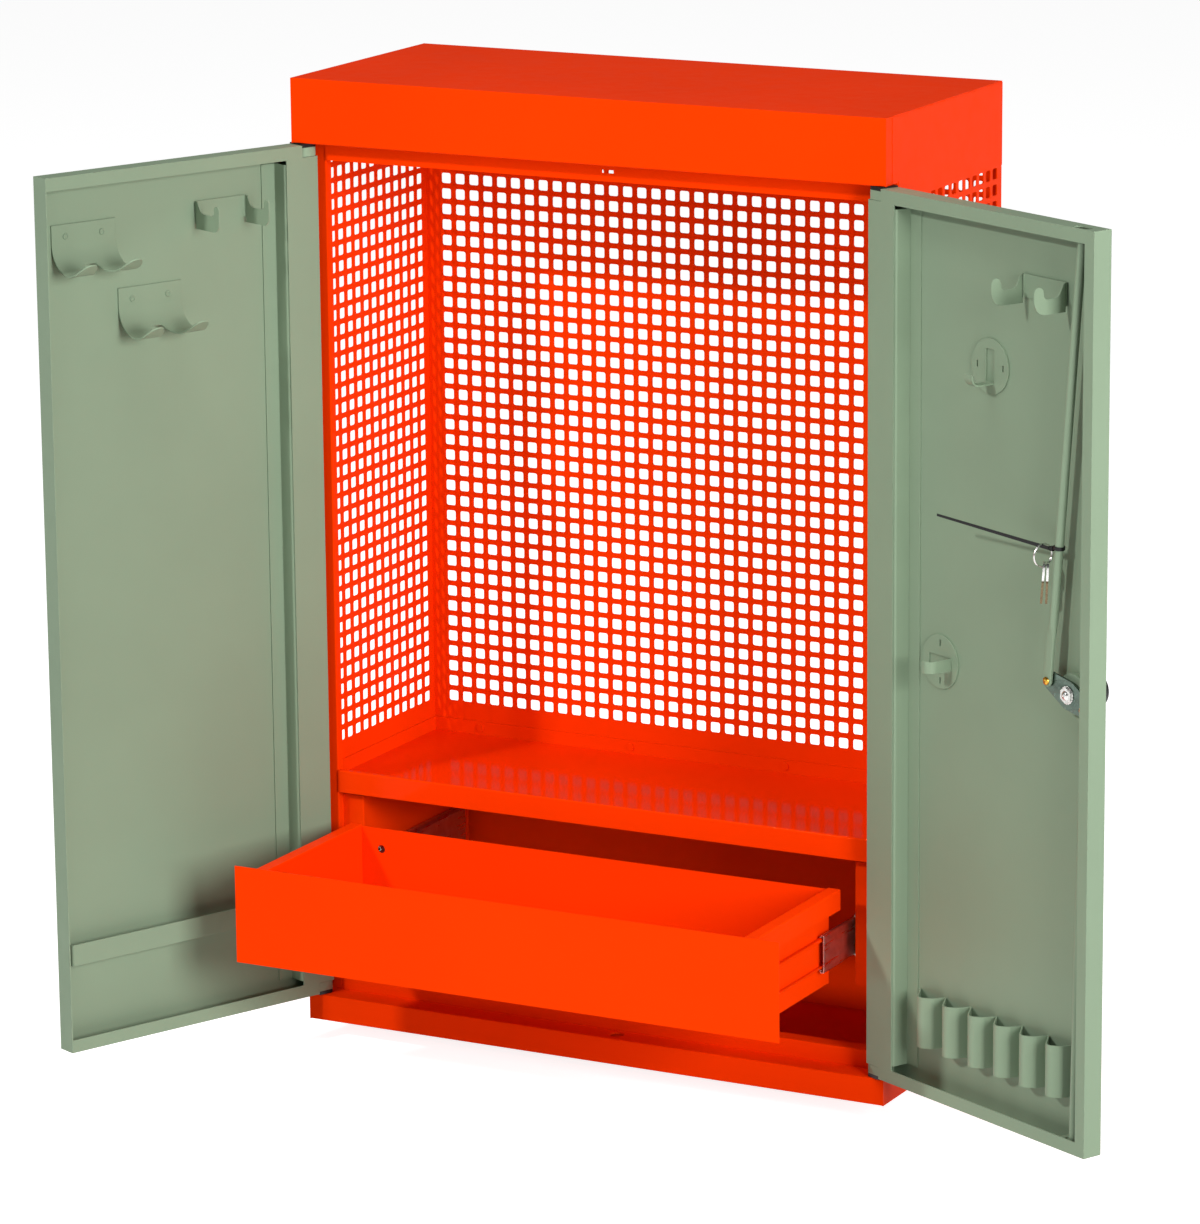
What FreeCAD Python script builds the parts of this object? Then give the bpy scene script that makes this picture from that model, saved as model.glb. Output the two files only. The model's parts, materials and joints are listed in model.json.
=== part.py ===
import FreeCAD, Part
import math
import os

# Wall cabinet for tools: folded sheet body with perforated walls, a shelf tray, a drawer on ball runners
# and two hung doors, the right one with a turning lock that drives an upper and a lower rod.
# X runs to the right, Y to the wall and Z up. The origin is the centre of the wall fixing holes.

# Overall size
width = 600.0
depth = 250.0
height = 900.0

# Sheet, folds and clearances
sheet = 1.2
bend = 1.2
seat_gap = 0.3
slide_gap = 0.3
pin_gap = 0.05
door_gap = 1.5
overrun = 5.0

# Sides of small round heads and of nuts, and shares of a piece's own sizes
head_sides = 12
ring_sides = 24
nut_sides = 6
full_round_share = 0.98
half_share = 0.5
join_share = 0.1
ring_facing_shares = (0.8, 0.6)
shelf_screw_shares = (-1, -1 / 3, 1 / 3, 1)

# Hood, base and door recess
cap_height = 60.0
base_height = 25.0
recess = 24.0
lintel_drop = 18.0
step_rise = 17.0
step_lip = 16.0
slit_width = 3.0
slit_length = 12.0
slit_place = 9.0

# Perforated walls: the real holes, and how many of them one opening here stands for
hole_side = 10.0
hole_pitch = 15.0
holes_per_opening = 4
first_row_height = 262.0
top_row_drop = 83.0
back_field_margin = 22.5
side_field_rear = 15.0

# Wall fixing holes in the back panel
fixing_side_margin = 50.0
fixing_top_margin = 40.0
fixing_low_margin = 60.0
fixing_radius = 4.5

# Stiles behind the doors
stile_face = 21.0
stile_leg = 30.0
stile_return = 9.0

# Shelf tray
shelf_height = 226.0
shelf_upstand = 13.0
shelf_lip = 20.0
shelf_lip_rise = 14.0
shelf_hem = 3.6
shelf_screw_radius = 3.5
shelf_screw_head = 1.6
shelf_screw_margin = 51.3
shelf_screw_rise = 7.0

# Drawer
drawer_front_side_gap = 0.8
drawer_front_low = 105.0
drawer_front_high = 197.0
drawer_rear_gap = 54.8
drawer_floor_height = 108.0
drawer_rim = 10.5
drawer_rim_lip = 18.0
drawer_out = 190.0
drawer_front_gap = 2.0
drawer_hole_radius = 4.0
drawer_hole_inset = 22.0
drawer_hole_drop = 20.0
drawer_small_hole_radius = 2.0
drawer_small_hole_inset = 10.0

# Ball runners
runner_height = 142.0
runner_thick = 12.7
runner_sheet = 1.2
outer_front_gap = 4.0
outer_tall = 42.0
outer_flange = 9.0
outer_rear_gap = 22.0
mid_length_share = 0.75
mid_tall = 36.0
mid_web_place = 5.2
mid_flange_start = 2.4
mid_flange_end = 10.0
mid_rear_gap = 26.0
inner_shorter = 13.0
inner_tall = 28.0
inner_flange_start = 7.4
inner_front_gap = 5.0
outer_cage_length = 74.0
inner_cage_length = 26.0
cage_gap = 0.3
bracket_deep = 42.8
bracket_low = 100.0
bracket_high = 216.0

# Doors, in their own frame: u from the hinge axis to the free edge, d from the outer face inwards
door_thick = 20.0
door_sheet = 1.2
hinge_inset = 8.0
hinge_depth = 10.0
door_edge_gap = 1.0
door_middle_gap = 1.5
rail_lip = 12.0
hinge_lip = 28.0
lock_side_lip = 12.0
left_open_angle = 113.5
right_open_angle = 154.0
stiffener_foot = 16.0
stiffener_cap = 14.0
stiffener_end = 4.0

# Hinge pins and their plastic bushes
hinge_pin_radius = 4.0
hinge_pin_head_radius = 6.0
hinge_pin_head = 2.0
hinge_pin_reach = 11.0
bush_reach = 10.0
bush_tall = 11.0
bush_round = 4.0

# Lock, in the right door's frame
lock_place = 256.0
cup_radius = 18.0
cup_depth = 8.0
spindle_radius = 4.0
knob_radius = 16.0
knob_out = 23.0
knob_neck_radius = 9.0
knob_neck = 7.0
knob_round = 4.0
knob_grip = 13.0
cylinder_radius = 6.0
cylinder_proud = 1.0
key_slot_width = 1.6
key_slot_length = 7.0
key_slot_deep = 3.0
cam_depth = 11.5
cam_thick = 2.0
cam_arm = 25.0
cam_angle = 160.0
cam_ear_radius = 7.5
cam_hub_radius = 13.0
lock_nut_radius = 8.5
lock_nut_thick = 3.0
lock_screw_radius = 4.5
lock_screw_head = 2.0
rivet_radius = 2.5
rivet_head_radius = 3.6
rivet_head = 1.2

# Locking rods
rod_radius = 4.0
rod_depth = 13.6
rod_guide_place = 270.0
rod_flat_thick = 3.0
rod_flat_width = 10.0
rod_flat_length = 42.0
rod_taper_length = 10.0
rod_tip_gap = 2.0
rod_nose = 1.5
slot_length = 20.0
slot_width = 9.6
strike_radius = 6.5
guide_rise = 9.0
guide_foot = 16.0
guide_width = 30.0

# Cable tie on the upper rod, key ring and keys
tie_rise = 125.5
tie_wide = 3.6
tie_thick = 1.2
tie_head_long = 5.0
tie_head_tall = 5.0
tie_tail_back = 120.0
tie_tail_out = 25.0
tie_tail_rise = 12.0
ring_radius = 11.0
ring_wire = 0.7
ring_along_tail = 14.0
key_thick = 2.0
key_bow_radius = 8.0
key_eye_radius = 2.6
key_blade_width = 6.5
key_blade_length = 22.0
key_bit = 1.4
key_bits = 4
key_apart = 2.6
key_lean_angle = 9.0

# Wide curved hooks on the left door
wide_hook_width = 69.0
wide_hook_tall = 50.0
wide_hook_out = 44.0
wide_hook_tip = 9.0
wide_hook_sheet = 1.5
wide_hook_curve = 27.0
wide_hook_valley_root = 25.0
wide_hook_tongue_round = 14.0
upper_wide_hook_place = 206.0
upper_wide_hook_drop = 46.5
lower_wide_hook_place = 136.0
lower_wide_hook_drop = 111.5
hook_rivet_radius = 3.0
hook_rivet_head = 1.0
hook_rivet_drop = 11.0
hook_rivet_inset = 14.0

# Twin hooks, one on each door
twin_width = 69.0
twin_tall = 31.0
twin_sheet = 1.5
twin_out = 37.0
twin_root = 9.0
twin_mouth = 16.0
twin_floor = 10.0
twin_round = 17.0
twin_plate_drop = 6.0
left_twin_place = 50.0
left_twin_drop = 41.5
right_twin_place = 170.0
right_twin_drop = 52.5

# Retaining bar on the left door
bar_tall = 20.0
bar_rise = 81.5
bar_out = 16.0
bar_sheet = 1.5
bar_start = 50.0
bar_end = 286.0
bar_bend = 1.5

# Round hook plates on the right door
disc_radius = 26.0
disc_sheet = 1.5
disc_hole_width = 2.0
disc_hole_tall = 6.0
disc_hole_spacing = 34.0
slot_hook_place = 141.0
slot_hook_drop = 132.5
slot_hook_width = 9.0
slot_hook_tall = 32.0
slot_hook_out = 22.0
slot_hook_tip = 9.0
slot_hook_curve = 6.0
strap_hook_place = 76.0
strap_hook_rise = 3.5
strap_hook_width = 13.0
strap_hook_window = 34.0
strap_hook_out = 14.0
strap_hook_curve = 6.0
strap_hook_flare = 5.0

# Screwdriver strip on the right door
strip_start = 48.0
strip_rise = 35.5
strip_tall = 47.0
strip_out = 18.5
strip_sheet = 1.2
strip_pitch = 36.0
strip_face = 19.0
strip_slope = 5.5
strip_lobes = 6
strip_crown_bend = 8.0

# Places worked out from the sizes above
half = width / 2
front = -depth
recess_back = front + recess
cap_bottom = height - cap_height
inside = half - sheet
stile_inner = inside - stile_face
door_low = base_height + door_gap
door_high = cap_bottom - door_gap
hinge_x = half - hinge_inset
hinge_y = front + hinge_depth
door_u0 = door_edge_gap - hinge_inset
door_u1 = hinge_x - door_middle_gap / 2
drawer_closed = recess_back - drawer_front_gap
drawer_face = drawer_closed - drawer_out
drawer_box_length = -drawer_closed - sheet - drawer_rear_gap
drawer_front_half = stile_inner - drawer_front_side_gap
bracket_web = inside - bracket_deep
drawer_half = bracket_web - runner_thick - slide_gap
drawer_rear = drawer_face + sheet + drawer_box_length
outer_length = -recess_back - outer_front_gap - outer_rear_gap
mid_length = outer_length * mid_length_share
inner_length = outer_length - inner_shorter
outer_middle = outer_rear_gap + outer_length / 2
mid_middle = mid_rear_gap + drawer_out / 2 + mid_length / 2
inner_middle = -drawer_face - sheet - inner_front_gap - inner_length / 2
lock_height = (door_low + door_high) / 2
tie_height = lock_height + tie_rise
slot_hook_height = door_high - slot_hook_drop
strap_hook_height = lock_height + strap_hook_rise
bar_low = door_low + bar_rise
strip_low = door_low + strip_rise
fixing_spacing_x = width - 2 * fixing_side_margin
fixing_spacing_z = height - fixing_top_margin - fixing_low_margin
fixing_height = fixing_low_margin + fixing_spacing_z / 2
back_columns = round((width - 2 * back_field_margin) / hole_pitch) + 1
side_columns = int((depth - recess - stile_leg - side_field_rear) / hole_pitch) + 1
hole_rows = round((height - top_row_drop - first_row_height) / hole_pitch) + 1

os.makedirs("parts", exist_ok=True)


def vec(x, y, z):
    return FreeCAD.Vector(x, y, z)


up = vec(0, 0, 1)


def block(xs, ys, zs):
    """A box from its low and high limits on each axis."""
    return Part.makeBox(xs[1] - xs[0], ys[1] - ys[0], zs[1] - zs[0], vec(xs[0], ys[0], zs[0]))


def fuse(shapes):
    """One solid from several that touch or overlap."""
    whole = shapes[0]
    for shape in shapes[1:]:
        whole = whole.fuse(shape)
    return whole.removeSplitter()


def cut(shape, tools):
    return shape.cut(Part.makeCompound(tools)).removeSplitter()


def in_plane_x(x):
    """Outline points are (y, z) at this x."""
    return lambda a, b: vec(x, a, b)


def in_plane_y(y):
    return lambda a, b: vec(a, y, b)


def in_plane_z(z):
    return lambda a, b: vec(a, b, z)


def wire_of(points, radii, place):
    """A closed outline with straight sides, each corner rounded by its own radius."""
    edges = []
    starts = []
    ends = []
    arcs = []
    count = len(points)
    for i in range(count):
        corner = place(*points[i])
        before = (place(*points[i - 1]) - corner).normalize()
        after = (place(*points[(i + 1) % count]) - corner).normalize()
        if radii[i] > 0:
            opening = before.getAngle(after)
            tangent = radii[i] / math.tan(opening / 2)
            bisector = (before + after).normalize()
            middle = corner + bisector * (radii[i] / math.sin(opening / 2) - radii[i])
            starts.append(corner + before * tangent)
            ends.append(corner + after * tangent)
            arcs.append(middle)
        else:
            starts.append(corner)
            ends.append(corner)
            arcs.append(None)
    for i in range(count):
        if arcs[i] is not None:
            edges.append(Part.Arc(starts[i], arcs[i], ends[i]).toShape())
        following = starts[(i + 1) % count]
        if (following - ends[i]).Length > join_share * pin_gap:
            edges.append(Part.LineSegment(ends[i], following).toShape())
    return Part.Wire(edges)


def prism(points, radii, place, along):
    """A solid from a rounded outline, drawn out along a vector."""
    return Part.Face(wire_of(points, radii, place)).extrude(along)


def moved_left(path, thick):
    """The path moved sideways by the sheet's thickness, to the left of its direction."""
    moved = []
    last = len(path) - 1
    for i, (a, b) in enumerate(path):
        first = path[max(i - 1, 0)]
        mid = path[max(i - 1, 0) + 1]
        step_in = (mid[0] - first[0], mid[1] - first[1])
        first = path[min(i, last - 1)]
        mid = path[min(i, last - 1) + 1]
        step_out = (mid[0] - first[0], mid[1] - first[1])
        normals = []
        for step in (step_in, step_out):
            size = math.hypot(*step)
            normals.append((-step[1] / size, step[0] / size))
        share = thick / (1 + normals[0][0] * normals[1][0] + normals[0][1] * normals[1][1])
        moved_a = a + (normals[0][0] + normals[1][0]) * share
        moved_b = b + (normals[0][1] + normals[1][1]) * share
        moved.append((moved_a, moved_b))
    return moved


def folded(path, thick, radii, place, along):
    """A folded sheet: the path is one face of its section, and each fold has its outside radius."""
    other = moved_left(path, thick)
    near = [0] * len(path)
    far = [0] * len(path)
    for i in range(1, len(path) - 1):
        step_in = (path[i][0] - path[i - 1][0], path[i][1] - path[i - 1][1])
        step_out = (path[i + 1][0] - path[i][0], path[i + 1][1] - path[i][1])
        turns_left = step_in[0] * step_out[1] - step_in[1] * step_out[0] > 0
        outside = radii[i - 1]
        inner = max(outside - thick, 0)
        near[i] = outside if turns_left else inner
        far[i] = inner if turns_left else outside
    return prism(path + other[::-1], near + far[::-1], place, along)


def rod_between(start, end, radius):
    return Part.makeCylinder(radius, (end - start).Length, start, end - start)


def regular(sides, radius, place, along, length):
    """A regular prism about a line, such as a nut: the radius is to its corners."""
    across = along.cross(vec(0, 1, 0) if abs(along.y) < abs(along.x) + abs(along.z) else up).normalize()
    ring = []
    for i in range(sides):
        spin = FreeCAD.Rotation(along, 360 * i / sides)
        ring.append(place + spin.multVec(across) * radius)
    return Part.Face(Part.makePolygon(ring + ring[:1])).extrude(along * length)


def flat_head(radius, tall, place, along):
    """A low rivet or screw head."""
    return regular(head_sides, radius, place, along, tall)


def mirrored(shape):
    return shape.mirror(vec(0, 0, 0), vec(1, 0, 0))


def save(name, shape):
    """Writes one piece, moved so that the origin is the centre of the wall fixing holes."""
    placed = shape.copy()
    placed.translate(vec(0, 0, -fixing_height))
    placed.exportStep("parts/" + name + ".step")


def door_point(u, d, z):
    """A point of the door frame before the door is hung: u along the door, d inwards."""
    return vec(u, d, z)


def hang_left(shape):
    """Takes a piece from the door frame to the left door, open as it stands at rest."""
    hung = shape.copy()
    hung.translate(vec(-hinge_x, front, 0))
    hung.rotate(vec(-hinge_x, hinge_y, 0), up, -left_open_angle)
    return hung


def hang_right(shape):
    hung = mirrored(shape)
    hung.translate(vec(hinge_x, front, 0))
    hung.rotate(vec(hinge_x, hinge_y, 0), up, right_open_angle)
    return hung


# Cabinet body


def strike_hole(low, high):
    """The hole that a locking rod enters, with the door closed."""
    place = vec(hinge_x - rod_guide_place, front + rod_depth, low)
    return Part.makeCylinder(strike_radius, high - low, place)


def pin_holes(low, high):
    return [
        Part.makeCylinder(hinge_pin_radius, high - low, vec(side * hinge_x, hinge_y, low))
        for side in (-1, 1)
    ]


def recess_ends(low, high):
    """The fascia's short returns at both sides."""
    ends = []
    for side in (-1, 1):
        xs = sorted((side * half, side * inside))
        ends.append(block(xs, (front, recess_back), (low, high)))
    return ends


def top_hood():
    path = [(0, height), (front, height), (front, cap_bottom), (recess_back, cap_bottom)]
    shell = folded(path, sheet, [bend, bend], in_plane_x(-half), vec(width, 0, 0))
    lintel = block(
        (-stile_inner, stile_inner),
        (recess_back - sheet, recess_back),
        (cap_bottom - lintel_drop, cap_bottom + sheet),
    )
    slit_low = cap_bottom - lintel_drop / 2 - slit_width / 2
    slit = block(
        (slit_place, slit_place + slit_length),
        (recess_back - overrun, recess_back + overrun),
        (slit_low, slit_low + slit_width),
    )
    shell = fuse([shell, lintel] + recess_ends(cap_bottom, height))
    holes = pin_holes(cap_bottom - overrun, cap_bottom + overrun)
    holes.append(strike_hole(cap_bottom - overrun, cap_bottom + overrun))
    return cut(shell, holes + [slit])


def base_pan():
    path = [(recess_back, base_height), (front, base_height), (front, 0), (0, 0)]
    shell = folded(path, sheet, [bend, bend], in_plane_x(-half), vec(width, 0, 0))
    step_top = base_height + step_rise
    step_path = [(recess_back, base_height - sheet), (recess_back, step_top)]
    step_path.append((recess_back + step_lip, step_top))
    step_half = stile_inner - seat_gap
    step = folded(step_path[::-1], sheet, [bend], in_plane_x(-step_half), vec(2 * step_half, 0, 0))
    shell = fuse([shell, step] + recess_ends(0, base_height))
    holes = pin_holes(base_height - overrun, base_height + overrun)
    holes.append(strike_hole(base_height - overrun, base_height + overrun))
    return cut(shell, holes)


def opening_grid(columns, middle):
    """Centres and half side of the openings, each in place of a square group of the real holes."""
    spacing = hole_pitch * holes_per_opening
    across = columns // holes_per_opening
    rows = hole_rows // holes_per_opening
    half_side = hole_side * holes_per_opening / 2
    field_middle = first_row_height + (hole_rows - 1) * hole_pitch / 2
    centres = []
    for row in range(rows):
        for column in range(across):
            along = middle + (column - (across - 1) / 2) * spacing
            centres.append((along, field_middle + (row - (rows - 1) / 2) * spacing))
    return centres, half_side


def holed_panel(points, centres, half_side, place, along, rounds):
    """A flat panel from one holed face."""
    outer = wire_of(points, [0] * len(points), place)
    holes = []
    for a, b in centres:
        corners = [
            (a - half_side, b - half_side),
            (a + half_side, b - half_side),
            (a + half_side, b + half_side),
            (a - half_side, b + half_side),
        ]
        holes.append(wire_of(corners, [0] * len(corners), place))
    face = Part.Face([outer] + holes + rounds)
    return face.extrude(along)


def back_panel():
    centres, half_side = opening_grid(back_columns, 0)
    low = sheet
    high = height - sheet
    points = [(-inside, low), (inside, low), (inside, high), (-inside, high)]
    rounds = []
    for side in (-1, 1):
        for level in (-1, 1):
            place = vec(side * fixing_spacing_x / 2, -sheet, fixing_height + level * fixing_spacing_z / 2)
            rounds.append(Part.Wire(Part.makeCircle(fixing_radius, place, vec(0, 1, 0))))
    return holed_panel(points, centres, half_side, in_plane_y(-sheet), vec(0, sheet, 0), rounds)


def left_side_panel():
    field_middle = -side_field_rear - (side_columns - 1) * hole_pitch / 2
    centres, half_side = opening_grid(side_columns, field_middle)
    points = [
        (recess_back, sheet),
        (0, sheet),
        (0, height - sheet),
        (recess_back, height - sheet),
    ]
    return holed_panel(points, centres, half_side, in_plane_x(-half), vec(sheet, 0, 0), [])


def left_stile():
    """The folded post that carries the closed door's edge, from the base plate up to the hood."""
    path = [
        (-inside, recess_back + stile_leg),
        (-inside, recess_back),
        (-stile_inner, recess_back),
        (-stile_inner, recess_back + stile_return),
    ]
    tall = vec(0, 0, height - 2 * sheet)
    return folded(path, sheet, [bend, bend], in_plane_z(sheet), tall)


def shelf_tray():
    rear = -sheet - seat_gap
    lip_back = recess_back + shelf_hem
    lip_top = shelf_height + shelf_lip_rise
    path = [
        (rear, shelf_height + shelf_upstand),
        (rear, shelf_height - sheet),
        (lip_back, shelf_height - sheet),
        (lip_back, lip_top),
        (recess_back, lip_top),
        (recess_back, lip_top - shelf_lip),
    ]
    middle_half = stile_inner - seat_gap
    folds = [bend, bend, sheet, sheet]
    middle = folded(path[::-1], sheet, folds[::-1], in_plane_x(-middle_half), vec(2 * middle_half, 0, 0))
    wing_front = recess_back + stile_leg + seat_gap
    wing_edge = inside - seat_gap
    wings = []
    for side in (-1, 1):
        wing_path = [
            (side * (middle_half - sheet), shelf_height - sheet),
            (side * wing_edge, shelf_height - sheet),
            (side * wing_edge, shelf_height + shelf_upstand),
        ]
        if side < 0:
            wing_path = wing_path[::-1]
        along = vec(0, rear - wing_front, 0)
        wings.append(folded(wing_path, sheet, [bend], in_plane_y(wing_front), along))
        xs = sorted((side * (middle_half - sheet), side * wing_edge))
        upstand = (shelf_height - sheet, shelf_height + shelf_upstand)
        wings.append(block(xs, (rear - sheet, rear), upstand))
    return fuse([middle] + wings)


def shelf_screws():
    """Pan heads that hold the tray's rear upstand to the back panel."""
    face = -sheet - seat_gap - sheet
    heads = []
    for share in shelf_screw_shares:
        place = vec(share * (inside - shelf_screw_margin), face, shelf_height + shelf_screw_rise)
        heads.append(flat_head(shelf_screw_radius, shelf_screw_head, place, vec(0, -1, 0)))
    return Part.makeCompound(heads)


def hinge_pins():
    """Four headed pins, two in the hood's return and two in the base, that the doors turn on."""
    pins = []
    for side in (-1, 1):
        for level, way in ((cap_bottom, -1), (base_height, 1)):
            seat = level - way * sheet
            start = vec(side * hinge_x, hinge_y, seat)
            reach = sheet + hinge_pin_reach
            shank = Part.makeCylinder(hinge_pin_radius, reach, start, vec(0, 0, way))
            head = regular(nut_sides, hinge_pin_head_radius, start, vec(0, 0, -way), hinge_pin_head)
            pins.append(shank.fuse(head).removeSplitter())
    return Part.makeCompound(pins)


# Ball runners, drawn for the left side: x here runs from the bracket's web towards the drawer


def channel(x_start, x_end, web_start, web_end, tall, thick, ys):
    """A long channel: an upright web with an upper and a lower flange."""
    low = runner_height - tall / 2
    high = runner_height + tall / 2
    web = block((web_start, web_end), ys, (low, high))
    flanges = [
        block((x_start, x_end), ys, (low, low + thick)),
        block((x_start, x_end), ys, (high - thick, high)),
    ]
    return fuse([web] + flanges)


def runner_x(place):
    """A place across the runner, from the bracket's web towards the drawer."""
    return -bracket_web + place


def left_outer_member():
    ys = (-outer_rear_gap - outer_length, -outer_rear_gap)
    web = (runner_x(0), runner_x(runner_sheet))
    return channel(runner_x(0), runner_x(outer_flange), *web, outer_tall, runner_sheet, ys)


def left_mid_member():
    rear = -mid_rear_gap - drawer_out / 2
    ys = (rear - mid_length, rear)
    web = (runner_x(mid_web_place), runner_x(mid_web_place + runner_sheet))
    flange = (runner_x(mid_flange_start), runner_x(mid_flange_end))
    return channel(*flange, *web, mid_tall, runner_sheet, ys)


def left_inner_member():
    """The drawer's own member, fixed to the side of its box."""
    start = drawer_face + sheet + inner_front_gap
    ys = (start, start + inner_length)
    web = (-drawer_half - runner_sheet, -drawer_half)
    return channel(runner_x(inner_flange_start), -drawer_half, *web, inner_tall, runner_sheet, ys)


def ball_cages(tall_out, tall_in, xs, middle, length):
    """The ball strips above and below, between one member's flange and the next one's."""
    ys = (-middle - length / 2, -middle + length / 2)
    strips = []
    for way in (-1, 1):
        outer = runner_height + way * (tall_out / 2 - cage_gap)
        inner = runner_height + way * (tall_in / 2 + cage_gap)
        strips.append(block(xs, ys, sorted((outer, inner))))
    return Part.makeCompound(strips)


def left_outer_cages():
    xs = (runner_x(mid_flange_start + cage_gap), runner_x(outer_flange - cage_gap))
    tall_out = outer_tall - 2 * runner_sheet
    return ball_cages(tall_out, mid_tall, xs, (outer_middle + mid_middle) / 2, outer_cage_length)


def left_inner_cages():
    xs = (runner_x(inner_flange_start + cage_gap), runner_x(mid_flange_end - cage_gap))
    tall_out = mid_tall - 2 * runner_sheet
    return ball_cages(tall_out, inner_tall, xs, (mid_middle + inner_middle) / 2, inner_cage_length)


def left_runner_bracket():
    """The folded channel that carries the outer member in front of the perforated side."""
    front_face = recess_back + stile_return + seat_gap
    path = [
        (-inside + sheet + seat_gap, front_face),
        (-bracket_web, front_face),
        (-bracket_web, -outer_rear_gap + outer_flange),
        (-inside + seat_gap, -outer_rear_gap + outer_flange),
    ]
    tall = vec(0, 0, bracket_high - bracket_low)
    return folded(path, sheet, [bend, bend], in_plane_z(bracket_low), tall)


# Drawer


def drawer_box():
    start = drawer_face + sheet
    length = vec(0, drawer_rear - start, 0)
    top = drawer_front_high - sheet
    floor = drawer_floor_height - sheet
    rim = drawer_half + drawer_rim
    path = [
        (-rim, top - drawer_rim_lip),
        (-rim, top),
        (-drawer_half, top),
        (-drawer_half, floor),
        (drawer_half, floor),
        (drawer_half, top),
        (rim, top),
        (rim, top - drawer_rim_lip),
    ]
    folds = [bend, bend, bend, bend, bend, bend]
    shell = folded(path, sheet, folds, in_plane_y(start), length)
    rear = block((-drawer_half, drawer_half), (drawer_rear - sheet, drawer_rear), (floor, top))
    holes = []
    for place, drop, radius in (
        (-drawer_half + drawer_hole_inset, drawer_hole_drop, drawer_hole_radius),
        (drawer_half - drawer_small_hole_inset, drawer_hole_drop, drawer_small_hole_radius),
    ):
        centre = vec(place, drawer_rear - overrun, top - drop)
        holes.append(Part.makeCylinder(radius, 2 * overrun, centre, vec(0, 1, 0)))
    return cut(fuse([shell, rear]), holes)


def drawer_front():
    xs = (-drawer_front_half, drawer_front_half)
    return block(xs, (drawer_face, drawer_face + sheet), (drawer_front_low, drawer_front_high))


# Doors


def corner_notch(z_low, z_high):
    return block((door_u0 - overrun, bush_reach), (-overrun, door_thick + overrun), (z_low, z_high))


def door_panel(free_lip):
    """A door pressed from one sheet: outer skin, edge flanges and turned-in lips."""
    us = (door_u0, door_u1)
    zs = (door_low, door_high)
    outer = block(us, (0, door_thick), zs)
    rims = [edge for edge in outer.Edges if edge.BoundBox.YMax < door_thick / 2]
    outer = outer.makeFillet(bend, rims)
    cavity = block(
        (us[0] + door_sheet, us[1] - door_sheet),
        (door_sheet, door_thick - door_sheet),
        (zs[0] + door_sheet, zs[1] - door_sheet),
    )
    window = block(
        (hinge_lip, us[1] - max(free_lip, door_sheet)),
        (door_thick - 2 * door_sheet, door_thick + overrun),
        (zs[0] + rail_lip, zs[1] - rail_lip),
    )
    notches = [
        corner_notch(door_high - bush_tall, door_high + overrun),
        corner_notch(door_low - overrun, door_low + bush_tall),
    ]
    return cut(outer, [cavity, window] + notches)


def rod_slot(z_low, z_high):
    """The oblong hole that guides a rod through an edge flange."""
    reach = (slot_length - slot_width) / 2
    us = (rod_guide_place - reach, rod_guide_place + reach)
    ds = (rod_depth - slot_width / 2, rod_depth + slot_width / 2)
    middle = block(us, ds, (z_low, z_high))
    ends = [
        Part.makeCylinder(slot_width / 2, z_high - z_low, vec(u, rod_depth, z_low)) for u in us
    ]
    return fuse([middle] + ends)


def right_door_panel():
    """The lock side: slots for the rods and a round cup pressed in for the knob."""
    panel = door_panel(lock_side_lip)
    slots = [
        rod_slot(door_high - overrun, door_high + overrun),
        rod_slot(door_low - overrun, door_low + overrun),
    ]
    inwards = vec(0, 1, 0)
    centre = vec(lock_place, 0, lock_height)
    boss = Part.makeCylinder(cup_radius, cup_depth, centre, inwards)
    outermost = centre - inwards * overrun
    well = Part.makeCylinder(
        cup_radius - door_sheet,
        cup_depth - door_sheet + overrun,
        outermost,
        inwards,
    )
    hole = Part.makeCylinder(
        spindle_radius + pin_gap,
        cup_depth + 2 * overrun,
        outermost,
        inwards,
    )
    return cut(fuse([panel, boss]), slots + [well, hole])


def door_stiffener():
    """The folded rail along the hinge side: foot on the skin, web, and cap under the hinge lip."""
    cap_d = door_thick - door_sheet
    path = [
        (hinge_lip + stiffener_foot, door_sheet),
        (hinge_lip, door_sheet),
        (hinge_lip, cap_d),
        (hinge_lip - stiffener_cap, cap_d),
    ]
    low = door_low + rail_lip + stiffener_end
    high = door_high - rail_lip - stiffener_end
    foot = folded(path[:3], -door_sheet, [bend], in_plane_z(low), vec(0, 0, high - low))
    cap = block((path[3][0], hinge_lip), (cap_d - door_sheet, cap_d), (low, high))
    return fuse([foot, cap])


def door_bushes():
    """The two plastic corner blocks that turn on the hinge pins."""
    blocks = []
    for level, way in ((door_high, -1), (door_low, 1)):
        inner = level + way * (bush_tall - seat_gap)
        outer = level - way * (door_gap - seat_gap)
        us = (door_u0 + seat_gap, bush_reach - seat_gap)
        piece = block(us, (seat_gap, door_thick - seat_gap), sorted((inner, outer)))
        posts = [
            edge
            for edge in piece.Edges
            if edge.BoundBox.ZLength > bush_tall / 2
            and edge.BoundBox.XMax < 0
            and edge.BoundBox.YMin > hinge_depth
        ]
        piece = piece.makeChamfer(bush_round * half_share, posts)
        bore_low = min(inner, outer) - overrun
        bore = Part.makeCylinder(
            hinge_pin_radius + pin_gap, bush_tall + 2 * overrun + door_gap, vec(0, hinge_depth, bore_low)
        )
        blocks.append(piece.cut(bore))
    return Part.makeCompound(blocks)


# Hooks and holders on the doors


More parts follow.
